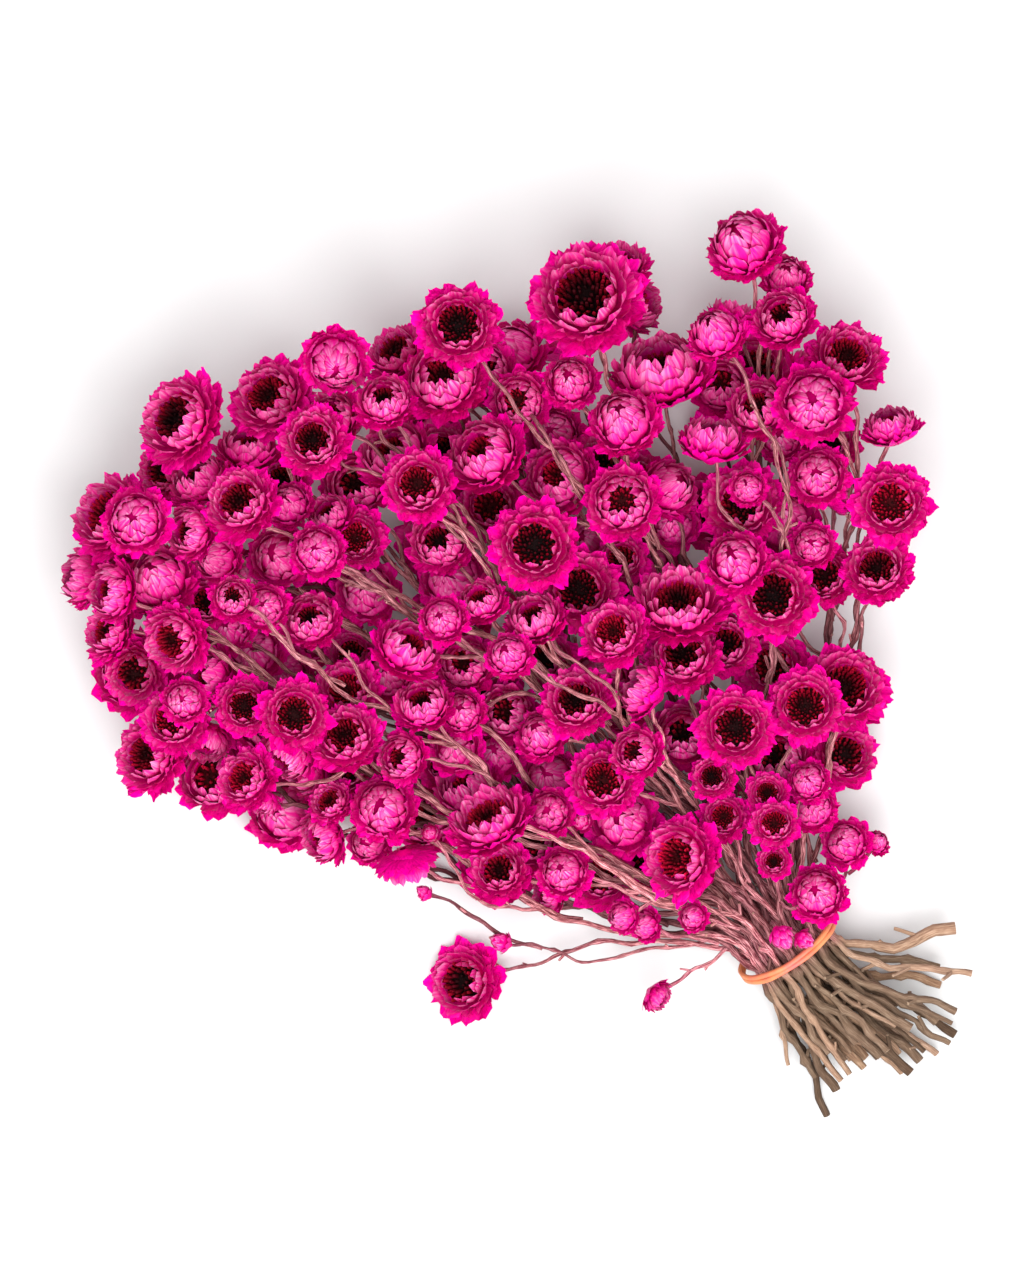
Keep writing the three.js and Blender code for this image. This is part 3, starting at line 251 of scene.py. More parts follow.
# Sprays that stray from the bunch. The route leads from the band, and the heads grow at its end
STRAYS = [
    {
        "route": [(-24, 30, 17), (-33, 40.5, 12), (-47, 42.5, 7.5), (-61, 43, 6), (-74, 43.5, 6)],
        "radius": 1.1,
        "heads": [(-85, 47, 23, "O", -0.5, 0.4, 30, 0), (-39.5, 10, 10, "H", 0.3, -0.9, 70, 1)],
    },
    {
        "route": [(-20, 10, 7), (-30, 13, 4.5), (-37, 18, 3.5), (-46, 27, 3), (-55, 35.5, 2.6), (-62, 41, 3)],
        "radius": 0.95,
        "heads": [(-68.5, 50.5, 6.5, "B", -0.6, 0.8, 80, 1), (-79, 76, 5, "B", -0.3, 1, 85, 1)],
    },
    {
        "route": [(16, 3.5, 17), (27, -3.5, 14), (36.5, -7.5, 11), (35.5, -1, 10)],
        "radius": 1.1,
        "heads": [(33.5, 15.5, 11.5, "C", -0.2, 0.6, 20, 3), (41.5, 10, 8, "C", 0.7, 0.3, 45, 2)],
    },
    {
        "route": [(2.5, 13, 33)],
        "radius": 1.1,
        "heads": [(1.5, 3.5, 7.5, "B", 0, -1, 84, 10), (6.5, -1, 6, "B", 0.4, -1, 88, 13.5)],
    },
]


# A repeatable stream of numbers from 0 to 1
def stream(seed):
    state = seed
    while True:
        state = state * DRAW_FACTOR % DRAW_MODULUS
        yield state / DRAW_MODULUS


def unit(way):
    return way / max(float(np.linalg.norm(way)), TINY)


def units(ways):
    return ways / np.maximum(np.linalg.norm(ways, axis=-1, keepdims=True), TINY)


# The heads of one filling grid, where it has room and where the bunch is around
def filling_heads(rows, filling):
    random = stream(filling["seed"])
    step = filling["step"]
    least_level, most_level = filling["levels"]
    least_size, most_size = filling["sizes"]
    found = []
    for row in range(filling["rows"]):
        for column in range(-filling["columns"], filling["columns"] + 1):
            x = (column + (row % 2) / 2 + FILL_OFFSET * (next(random) - 0.5)) * step
            y = FILL_START + (row + FILL_OFFSET * (next(random) - 0.5)) * step
            level = least_level + (most_level - least_level) * next(random)
            diameter = least_size + (most_size - least_size) * next(random)
            gaps = [math.hypot(head[0] - x, head[1] - y) for head in rows]
            room, share = filling["room"], filling["share"]
            roomy = all(gap > room + head[2] * share for gap, head in zip(gaps, rows))
            apart = all(math.hypot(head[0] - x, head[1] - y) > filling["apart"] for head in found)
            around = sum(gap < FILL_AROUND for gap in gaps)
            if roomy and apart and around >= FILL_NEIGHBOURS:
                kind = FILL_KINDS[len(found) % len(FILL_KINDS)]
                found.append((x, y, diameter, kind, x / FILL_LEAN, 1, FILL_TILT, level))
    return found


# Half the height of the bunch over a point of the surface, and the height of its middle there
def bunch_at(x, y):
    along = min(max(y / FAN_LENGTH, 0), 1)
    half_height = TIE_HALF_HEIGHT + (FAN_HALF_HEIGHT - TIE_HALF_HEIGHT) * math.sqrt(along)
    half_width = TIE_HALF_WIDTH + (FAN_HALF_WIDTH - TIE_HALF_WIDTH) * along ** FAN_SWELL
    across = min(abs(x) / half_width, FLANK_MOST)
    beyond = min(max((y - FAN_MIDDLE) / FAN_REACH, 0), END_MOST)
    return half_height * math.sqrt(1 - across * across) * math.sqrt(1 - beyond * beyond), half_height


# How far heads reach from their centres in one direction
def reach(axes, wide, thick, way):
    along = np.sum(axes * way, axis=-1)
    return np.sqrt(np.maximum(wide**2 * (1 - along**2) + thick**2 * along**2, 0))


# How much larger a head is than what shows of it
def growth_at(level):
    if level == COVERED_LEVEL:
        return COVERED_GROWTH
    return MIDDLE_GROWTH if COVERED_LEVEL < level < MIDDLE_LEVEL else TOP_GROWTH


# The heads of some rows, as arrays
def heads_of(rows):
    heads = {"kind": [row[3] for row in rows], "level": np.array([float(row[7]) for row in rows])}
    lean = units(np.array([(row[4], row[5], 0.0) for row in rows]))
    angle = np.radians(np.array([float(row[6]) for row in rows]))
    heads["axis"] = lean * np.sin(angle)[:, None] + np.array([0, 0, 1]) * np.cos(angle)[:, None]
    heads["radius"] = np.array([row[2] / 2 * growth_at(row[7]) for row in rows])
    heads["wide"] = np.array([BODY[kind][0] for kind in heads["kind"]]) * heads["radius"]
    heads["thick"] = np.array([BODY[kind][1] for kind in heads["kind"]]) * heads["radius"]
    depth = reach(heads["axis"], heads["wide"], heads["thick"], np.array([0, 0, 1]))
    centres = []
    for row, down in zip(rows, depth):
        half, middle = bunch_at(row[0], row[1])
        lift = middle + (row[7] / LEVEL_MIDDLE - 1) * max(half - down, SPAN_LEAST) if row[7] > 0 else 0
        centres.append((row[0], row[1], max(lift, down - FLOOR_DIP)))
    heads["centre"] = np.array(centres)
    heads["depth"] = depth
    return heads


# Heads that overlap move apart, mostly up and down, and drift back to their places in plan
def settle_heads(heads):
    centre, axis, radius = heads["centre"], heads["axis"], heads["radius"]
    wide, thick = heads["wide"], heads["thick"]
    home = centre[:, :2].copy()
    all_first, all_second = np.triu_indices(len(centre), 1)
    most = radius[all_first] + radius[all_second] + HEAD_GAP
    for _ in range(HEAD_ROUNDS):
        lines = centre[all_second] - centre[all_first]
        near = np.sum(lines**2, axis=1) <= most**2
        i, j, line = all_first[near], all_second[near], lines[near]
        up = np.tile([0.0, 0.0, 1.0], (len(i), 1))
        ways = np.stack([units(line), axis[i], axis[j], up, units(axis[i] + axis[j])], axis=1)
        along = np.sum(ways * line[:, None], axis=2)
        room = np.abs(along)
        room -= reach(axis[i][:, None], wide[i][:, None], thick[i][:, None], ways)
        room -= reach(axis[j][:, None], wide[j][:, None], thick[j][:, None], ways)
        best = np.argmax(room, axis=1)
        each = np.arange(len(i))
        gap = room[each, best]
        way = ways[each, best] * np.where(along[each, best] < 0, -1, 1)[:, None]
        push = np.where(gap < HEAD_GAP, (HEAD_GAP - gap) * HEAD_PUSH, 0)
        lift = np.where(line[:, 2] < 0, -HEAD_LIFT, HEAD_LIFT)
        move = way * push[:, None]
        move[:, :2] *= HEAD_SIDEWAYS
        move[:, 2] += lift * push
        moves = np.zeros_like(centre)
        np.add.at(moves, i, -move)
        np.add.at(moves, j, move)
        centre += moves
        centre[:, :2] += (home - centre[:, :2]) * HOME_PULL
        centre[:, 2] = np.maximum(centre[:, 2], heads["depth"] - FLOOR_DIP)


# Far heads lead sprays. A nearer head joins the spray whose stem passes closest to its neck
def gather_sprays(count, heads):
    tie = np.array([0, 0, TIE_HEIGHT])
    far = np.linalg.norm(heads["centre"] - tie, axis=1)
    necks = heads["neck"] - tie
    sprays = []
    for i in sorted(range(count), key=lambda k: -far[k]):
        best, least = None, SPRAY_REACH
        for spray in sprays:
            if len(spray["heads"]) >= SPRAY_MOST:
                continue
            way = unit(necks[spray["heads"][0]])
            along = float(necks[i] @ way)
            aside = float(np.linalg.norm(necks[i] - way * along))
            cost = aside + SPRAY_CROWD * (len(spray["heads"]) - 1)
            if cost < least and along > SPRAY_NEAR:
                best, least = spray, cost
        if best:
            best["heads"].append(i)
        else:
            sprays.append({"heads": [i], "route": None, "radius": STEM_RADIUS})
    return sprays


# Each stem has a slot in the band, on the side that its head lies on, clear of the other stems
def place_slots(sprays, heads):
    slots = []
    for spray in sprays:
        goal = spray["route"][0] if spray["route"] else heads["centre"][spray["heads"][0]]
        way = np.array(goal) - (0, 0, TIE_HEIGHT)
        far = float(np.linalg.norm(way))
        rise = (way[2] - way[1] * SLOT_SLOPE) / far
        slots.append([way[0] / far * BUNDLE_WIDE * SLOT_FAN, rise * BUNDLE_HIGH * SLOT_RISE])
    for _ in range(SLOT_ROUNDS):
        for i, first in enumerate(slots):
            for second in slots[i + 1:]:
                across, up = second[0] - first[0], second[1] - first[1]
                apart = max(math.sqrt(across * across + up * up), 1e-6)
                if apart < SLOT_PITCH:
                    push = (SLOT_PITCH - apart) * 0.5 / apart
                    first[0] -= across * push
                    first[1] -= up * push
                    second[0] += across * push
                    second[1] += up * push
        for slot in slots:
            out = math.hypot(slot[0] / (BUNDLE_WIDE - STEM_RADIUS), slot[1] / (BUNDLE_HIGH - STEM_RADIUS))
            if out > 1:
                back = 1 - SLOT_PULL * (out - 1) / out
                slot[0] *= back
                slot[1] *= back
    for spray, slot in zip(sprays, slots):
        spray["slot"] = slot


# Where a twig leaves its main stem: as far along as it can without turning back, and clear of other forks
def fork_for(end, main, joints, forks):
    best = None
    for first, second in zip(main[2:-2], main[3:-1]):
        start, stop = joints[first]["place"], joints[second]["place"]
        for share in FORK_SHARES:
            place = start + (stop - start) * share
            line = end - place
            long = float(np.linalg.norm(line))
            taken = any(np.linalg.norm(other - place) < FORK_APART for other in forks)
            ahead = long > TWIG_LEAST and line @ unit(stop - start) > FORK_SLANT * long
            if best is None or (ahead and not taken):
                best = (place, (first, second, share))
    return best


# The joints of all stems, and the chains that run through them to a head
def grow_stems(sprays, heads):
    joints, chains = [], []
    random = stream(CUT_SEED)

    def joint(place, loose, on=None):
        joints.append({"place": np.array(place, float), "loose": loose, "on": on})
        return len(joints) - 1

    widest = max(sprays, key=lambda spray: spray["slot"][0])
    for number, spray in enumerate(sprays):
        aside, up = spray["slot"]
        length = CUT_LEAST + CUT_SPREAD * next(random)
        stray_aside, stray_up = (most * (next(random) - 0.5) for most in CUT_STRAY)
        cut = (CUT_ASIDE + CUT_FAN * aside + stray_aside, -length, CUT_HEIGHT + CUT_RISE * up + stray_up)
        if spray is widest:
            cut = KNOTTY_CUT
        back = np.array([TIE_ASIDE + aside, TIE_RUN, TIE_HEIGHT + up])
        front = back * (1, -1, 1)
        leader = spray["heads"][0]
        neck = heads["neck"][leader]
        main = [joint(cut, END_LOOSE), joint(front, 0), joint(back, 0)]
        if spray["route"]:
            main += [joint(place, ROUTE_LOOSE) for place in spray["route"]]
        else:
            parts = max(1, math.floor(np.linalg.norm(neck - back) / STEM_STEP + 0.5))
            main += [joint(back + (neck - back) * k / parts, 1) for k in range(1, parts)]
        main += [joint(neck, END_LOOSE), joint(heads["root"][leader], 0)]
        chains.append({"joints": main, "spray": number, "head": leader, "radius": spray["radius"]})
        forks = []
        for head in spray["heads"][1:]:
            end = heads["neck"][head]
            start, on = fork_for(end, main, joints, forks)
            forks.append(start)
            twig = [joint(start, 0, on)]
            parts = max(1, math.floor(np.linalg.norm(end - start) / TWIG_STEP + 0.5))
            twig += [joint(start + (end - start) * k / parts, 1) for k in range(1, parts)]
            twig += [joint(end, END_LOOSE), joint(heads["root"][head], 0)]
            chains.append({"joints": twig, "spray": number, "head": head, "radius": TWIG_RADIUS})
    return joints, chains


# The closest points of pairs of runs, as shares of their lengths
def closest(a, b, c, d):
    first, second, between = b - a, d - c, a - c
    aa, bb, ab = (np.sum(p * q, axis=1) for p, q in ((first, first), (second, second), (first, second)))
    fa, fb = np.sum(first * between, axis=1), np.sum(second * between, axis=1)
    flat = aa * bb - ab * ab
    level = flat <= TINY
    s = np.clip((ab * fb - fa * bb) / np.where(level, 1, flat), 0, 1)
    s[level] = 0.5
    t = np.clip((ab * s + fb) / bb, 0, 1)
    return np.clip((ab * t - fa) / aa, 0, 1), t


# Stems that touch another spray's stems or heads are bent clear of them
def settle_stems(joints, chains, heads):
    place = np.array([joint["place"] for joint in joints])
    loose = np.array([float(joint["loose"]) for joint in joints])
    runs = [(p, q, k, q == chain["joints"][-1]) for k, chain in enumerate(chains)
            for p, q in zip(chain["joints"], chain["joints"][1:])]
    run_a, run_b, run_chain, run_last = (np.array(column) for column in zip(*runs))
    run_spray = np.array([chains[k]["spray"] for k in run_chain])
    run_radius = np.array([float(chains[k]["radius"]) for k in run_chain])
    run_head = np.array([chains[k]["head"] for k in run_chain])
    first, second = np.triu_indices(len(runs), 1)
    other = run_spray[first] != run_spray[second]
    first, second = first[other], second[other]
    room = run_radius[first] + run_radius[second] + STEM_GAP
    own = run_last[:, None] & (run_head[:, None] == np.arange(len(heads["radius"])))
    margin = (run_radius + HEAD_CLEAR)[:, None]
    all_wide, all_thick = heads["wide"] + margin, heads["thick"] + margin
    trios = np.array([trio for chain in chains
                      for trio in zip(chain["joints"], chain["joints"][1:], chain["joints"][2:])])
    held = [(k, *joint["on"]) for k, joint in enumerate(joints) if joint["on"]]
    held_joint, held_a, held_b, held_share = (np.array(column) for column in zip(*held))
    free = np.ones(len(joints), bool)
    free[held_joint] = False
    for number in range(STEM_ROUNDS):
        ease = SMOOTHING if number < STEM_ROUNDS * SMOOTH_ROUNDS else 0
        moves = np.zeros_like(place)

        def shift(run, share, move):
            np.add.at(moves, run_a[run], move * (1 - share)[:, None])
            np.add.at(moves, run_b[run], move * share[:, None])

        a, b = place[run_a], place[run_b]
        low, high = np.minimum(a, b), np.maximum(a, b)
        near = ~own
        for axis in (0, 1):
            near &= low[:, None, axis] - all_wide <= heads["centre"][:, axis]
            near &= high[:, None, axis] + all_wide >= heads["centre"][:, axis]
        run, head = np.nonzero(near)
        wide, thick, axes = all_wide[run, head], all_thick[run, head], heads["axis"][head]
        start, way = a[run] - heads["centre"][head], b[run] - a[run]
        start_along, way_along = np.sum(start * axes, axis=1), np.sum(way * axes, axis=1)
        bottom = (np.sum(way**2, axis=1) - way_along**2) / wide**2 + way_along**2 / thick**2
        top = (np.sum(start * way, axis=1) - start_along * way_along) / wide**2
        top += start_along * way_along / thick**2
        share = np.clip(-top / bottom, 0, 1)
        line = start + way * share[:, None]
        along = np.sum(line * axes, axis=1)
        off = line - axes * along[:, None]
        depth = np.sqrt(np.sum(off**2, axis=1) / wide**2 + along**2 / thick**2)
        slope = units(off / wide[:, None] ** 2 + axes * (along / thick**2)[:, None])
        push = np.where(depth < 1, (1 - depth) * thick * CLEAR_PUSH, 0)
        shift(run, share, slope * push[:, None])

        near = np.ones(len(first), bool)
        for axis in (0, 1, 2):
            near &= low[first, axis] - room <= high[second, axis]
            near &= low[second, axis] - room <= high[first, axis]
        i, j = first[near], second[near]
        s, t = closest(a[i], b[i], a[j], b[j])
        line = a[j] + (b[j] - a[j]) * t[:, None] - a[i] - (b[i] - a[i]) * s[:, None]
        apart = np.linalg.norm(line, axis=1)
        push = np.where(apart < room[near], (room[near] - apart) * STEM_PUSH, 0)
        move = units(line) * push[:, None]
        shift(i, s, -move)
        shift(j, t, move)

        before, here, after = trios.T
        np.add.at(moves, here, ((place[before] + place[after]) / 2 - place[here]) * ease)
        pace = np.minimum(1, STEM_PACE / np.maximum(np.linalg.norm(moves, axis=1), TINY))
        place[free] += (moves * (loose * pace)[:, None])[free]
        lowest = REST_PLANE + STEM_RADIUS - STEM_DIP
        lifted = free & (loose > 0)
        place[lifted, 2] = np.maximum(place[lifted, 2], lowest)
        place[held_joint] = place[held_a] + (place[held_b] - place[held_a]) * held_share[:, None]
    return place


# Lay out the bunch
filling = [head for each in FILLINGS for head in filling_heads(HEADS, each)]
rows = HEADS + filling + UNDER_HEADS
free_count = len(rows)
stray_sprays = []
for stray in STRAYS:
    numbers = list(range(len(rows), len(rows) + len(stray["heads"])))
    stray_sprays.append({"heads": numbers, "route": stray["route"], "radius": stray["radius"]})
    rows = rows + stray["heads"]
heads = heads_of(rows)
settle_heads(heads)
heads["neck"] = heads["centre"] - heads["axis"] * (heads["thick"] + NECK)[:, None]
heads["root"] = heads["centre"] - heads["axis"] * (heads["thick"] * ROOT_DEPTH)[:, None]
sprays = gather_sprays(free_count, heads) + stray_sprays
place_slots(sprays, heads)
joints, chains = grow_stems(sprays, heads)
places = settle_stems(joints, chains, heads)

# How far above the surface its bend begins to be felt, in millimetres
SETTLE = 0.25
# The free edge of a cell of a map, as a share of the cell
CELL_EDGE = 0.06


# Collects the vertices, faces, map places and values of one piece
class Piece:
    def __init__(self, name):
        self.name = name
        self.points = []
        self.count = 0
        self.faces = {}
        self.values = {}

    # Adds the points of some patches, and their values
    def add(self, points, values):
        start = self.count
        self.points.append(points.reshape(-1, 3))
        self.count += points.size // 3
        for name, value in values.items():
            self.values.setdefault(name, []).append(np.broadcast_to(value, points.shape[:-1]).ravel())
        return start

    # Adds faces by their corners, and their places in the map within the cells of their patches
    def join(self, index, across, along, cells, material):
        cells = cells[:, None, None]
        left, low, wide, high = np.moveaxis(cells, -1, 0)
        places = np.stack([left + across * wide, low + along * high], axis=-1)
        corners = index.shape[-1]
        group = (index.reshape(-1, corners), places.reshape(-1, corners, 2), material)
        self.faces.setdefault(corners, []).append(group)

    # Adds sheets of points, each rows by columns. Where closed, the last column meets the first
    def sheets(self, grids, cells, material, values, closed=False):
        count, rows, columns = grids.shape[:3]
        start = self.add(grids, values)
        steps = columns if closed else columns - 1
        row, column = (part.ravel() for part in np.indices((rows - 1, steps)))
        corners = ((row, column), (row, column + 1), (row + 1, column + 1), (row + 1, column))
        index = np.stack([r * columns + c % columns for r, c in corners], axis=-1)
        index = start + index[None] + (np.arange(count) * rows * columns)[:, None, None]
        across = np.stack([c / steps for r, c in corners], axis=-1)[None]
        along = np.stack([r / (rows - 1) for r, c in corners], axis=-1)[None]
        self.join(index, across, along, cells, material)

    # Adds fans of triangles from rings of points to tips
    def fans(self, rings, tips, cells, material, values):
        count, sides = rings.shape[:2]
        start = self.add(np.concatenate([rings, tips[:, None]], axis=1), values)
        step = np.arange(sides)
        index = np.stack([step, (step + 1) % sides, np.full(sides, sides)], axis=-1)
        index = start + index[None] + (np.arange(count) * (sides + 1))[:, None, None]
        turn = np.stack([step, step + 1], axis=-1) * 2 * np.pi / sides
        middle = np.full((sides, 1), 0.5)
        across = np.hstack([0.5 + 0.5 * np.cos(turn), middle])[None]
        along = np.hstack([0.5 + 0.5 * np.sin(turn), middle])[None]
        self.join(index, across, along, cells, material)

    # Makes the Blender object, in metres in the frame of the solids
    def build(self, shift, materials):
        mesh = bpy.data.meshes.new(self.name)
        points = np.vstack(self.points) + shift
        # Whatever would reach below the surface bends flat onto it
        points[:, 2] = SETTLE * np.logaddexp(0, points[:, 2] / SETTLE)
        points = points / 1000
        mesh.vertices.add(len(points))
        mesh.vertices.foreach_set("co", points.astype(np.float32).ravel())
        corners, totals, places, slots = [], [], [], []
        for size, groups in self.faces.items():
            for index, place, material in groups:
                corners.append(index.ravel())
                totals.append(np.full(len(index), size))
                places.append(place.reshape(-1, 2))
                slots.append(np.full(len(index), material))
        corners, totals = np.concatenate(corners), np.concatenate(totals)
        mesh.loops.add(len(corners))
        mesh.loops.foreach_set("vertex_index", corners.astype(np.int32))
        mesh.polygons.add(len(totals))
        starts = np.concatenate([[0], np.cumsum(totals)[:-1]])
        mesh.polygons.foreach_set("loop_start", starts.astype(np.int32))
        mesh.polygons.foreach_set("material_index", np.concatenate(slots).astype(np.int32))
        mesh.polygons.foreach_set("use_smooth", np.ones(len(totals), bool))
        layer = mesh.uv_layers.new(name="OFBake")
        layer.data.foreach_set("uv", np.vstack(places).astype(np.float32).ravel())
        for name, values in self.values.items():
            attribute = mesh.attributes.new(name, "FLOAT", "POINT")
            attribute.data.foreach_set("value", np.concatenate(values).astype(np.float32))
        for material in materials:
            mesh.materials.append(material)
        mesh.update(calc_edges=True)
        mesh.validate()
        piece = bpy.data.objects.new(self.name, mesh)
        bpy.context.scene.collection.objects.link(piece)
        return piece


# Cells of the map of one piece: square ones in rows over a band of the map
class Cells:
    def __init__(self, count, low, high):
        self.columns = max(1, math.ceil(math.sqrt(count / (high - low))))
        self.size = min(1 / self.columns, (high - low) / math.ceil(count / self.columns))
        self.low = low
        self.number = 0

    def take(self, count=1):
        number = self.number + np.arange(count)
        self.number += count
        edge = self.size * CELL_EDGE
        left = number % self.columns * self.size + edge
        low = self.low + number // self.columns * self.size + edge
        side = np.full(count, self.size - 2 * edge)
        return np.stack([left, low, side, side], axis=-1)


# Rings of bracts from the stem to the middle: how many, where they begin, turn and end as (how far out,
# how high), half their width, how far their sides cup round, how ragged their tips are, and how pale
RINGS = {
    "O": [
        (11, (0.10, -0.48), (0.42, -0.47), (0.66, -0.22), 0.17, 1.2, 0.02, 0.0),
        (12, (0.20, -0.40), (0.82, -0.36), (1.10, -0.04), 0.25, 0.3, 0.085, 0.0),
        (12, (0.20, -0.36), (0.76, -0.28), (1.00, 0.08), 0.23, 0.5, 0.085, 0.12),
        (12, (0.20, -0.32), (0.80, -0.22), (0.86, 0.22), 0.21, 0.8, 0.08, 0.45),
        (11, (0.22, -0.28), (0.82, -0.14), (0.73, 0.38), 0.22, 1.3, 0.03, 0.8),
        (11, (0.24, -0.24), (0.76, -0.06), (0.56, 0.42), 0.19, 1.6, 0.03, 1.0),
        (9, (0.26, -0.18), (0.68, 0.00), (0.42, 0.33), 0.15, 1.6, 0.02, 0.8),
    ],
    "H": [
        (11, (0.10, -0.64), (0.42, -0.60), (0.68, -0.30), 0.18, 1.2, 0.02, 0.0),
        (12, (0.20, -0.56), (0.84, -0.46), (1.12, -0.02), 0.25, 0.3, 0.085, 0.0),
        (11, (0.20, -0.50), (0.84, -0.36), (0.98, 0.14), 0.24, 0.6, 0.08, 0.18),
        (10, (0.20, -0.44), (0.92, -0.22), (0.84, 0.36), 0.26, 1.2, 0.05, 0.6),
        (10, (0.30, -0.42), (0.96, -0.06), (0.64, 0.50), 0.26, 1.4, 0.03, 0.85),
        (10, (0.36, -0.36), (0.92, 0.10), (0.46, 0.55), 0.23, 1.4, 0.03, 1.0),
        (10, (0.40, -0.24), (0.76, 0.18), (0.31, 0.45), 0.17, 1.4, 0.04, 0.85),
    ],
    "C": [
        (11, (0.10, -0.58), (0.42, -0.56), (0.70, -0.30), 0.18, 1.2, 0.02, 0.0),
        (12, (0.20, -0.50), (0.84, -0.46), (1.10, -0.12), 0.25, 0.3, 0.09, 0.0),
        (11, (0.20, -0.44), (0.84, -0.36), (0.98, 0.02), 0.24, 0.6, 0.085, 0.14),
        (11, (0.34, -0.46), (0.98, -0.24), (0.86, 0.24), 0.24, 1.1, 0.07, 0.4),
        (9, (0.42, -0.46), (0.93, -0.06), (0.66, 0.50), 0.26, 1.4, 0.05, 0.6),
        (8, (0.44, -0.38), (0.90, 0.16), (0.44, 0.68), 0.26, 1.5, 0.04, 0.85),
        (6, (0.46, -0.26), (0.80, 0.40), (0.24, 0.78), 0.27, 1.5, 0.03, 1.0),
        (5, (0.50, -0.12), (0.64, 0.56), (0.09, 0.76), 0.24, 1.5, 0.03, 1.0),
    ],
    "B": [
        (9, (0.14, -0.84), (0.92, -0.68), (0.98, -0.10), 0.27, 1.2, 0.08, 0.4),
        (7, (0.20, -0.76), (1.06, -0.26), (0.72, 0.46), 0.34, 1.4, 0.05, 0.85),
        (5, (0.20, -0.66), (1.00, 0.16), (0.38, 0.84), 0.40, 1.4, 0.04, 0.95),
        (4, (0.20, -0.50), (0.80, 0.50), (0.08, 1.02), 0.36, 1.3, 0.03, 1.0),
    ],
}

# The core under the bracts and the disc in the middle, as (how far out, how high). The florets stand on
# the disc: how far out they reach, how high the disc lies, and how many there are
CORES = {
    "O": [(0.10, -0.55), (0.26, -0.46), (0.46, -0.28), (0.54, -0.08), (0.50, 0.02)],
    "H": [(0.10, -0.70), (0.26, -0.60), (0.50, -0.38), (0.58, -0.10), (0.46, 0.06)],
    "C": [(0.10, -0.66), (0.30, -0.52), (0.56, -0.26), (0.66, 0.02), (0.46, 0.34), (0.16, 0.46)],
    "B": [(0.14, -0.95), (0.55, -0.60), (0.78, -0.10), (0.60, 0.40), (0.22, 0.82)],
}
DISCS = {"O": (0.45, 0.05, 80), "H": (0.36, 0.08, 40)}

# Bracts are widest at this share of their length, and begin and end with these shares of their width
BRACT_WIDEST = 0.62
BRACT_FOOT = 0.42
BRACT_TIP = 0.38
BRACT_ROUND = 0.2
BRACT_RUFFLE = 0.05
# How much freer the outer bracts stand than the inner ones
BRACT_FREE = 0.35
# Rows and columns of a bract: of outer rings and inner ones of large heads, small ones, hidden ones and
# those beneath, of rings of few broad bracts, and of the ring next to the stem
LARGE_DETAIL = (6, 9, 6, 7)
SMALL_DETAIL = (5, 7, 5, 5)
HIDDEN_DETAIL = (5, 5, 5, 5)
UNDER_DETAIL = (4, 5, 4, 3)
BROAD_RING = 9
BROAD_DETAIL = (7, 8)
FIRST_DETAIL = (4, 3)
OUTER_RINGS = (1, 2)
HIDDEN_LEVEL = 4.7
UNDER_LEVEL = 1.5
SMALL_HEAD = 6.6
CORE_SIDES = 14
# Florets: their sides, how far out the open ones begin, and the turn from one to the next
FLORET_SIDES = 4
OPEN_FLORETS = 0.45
GOLDEN_TURN = 2.39996


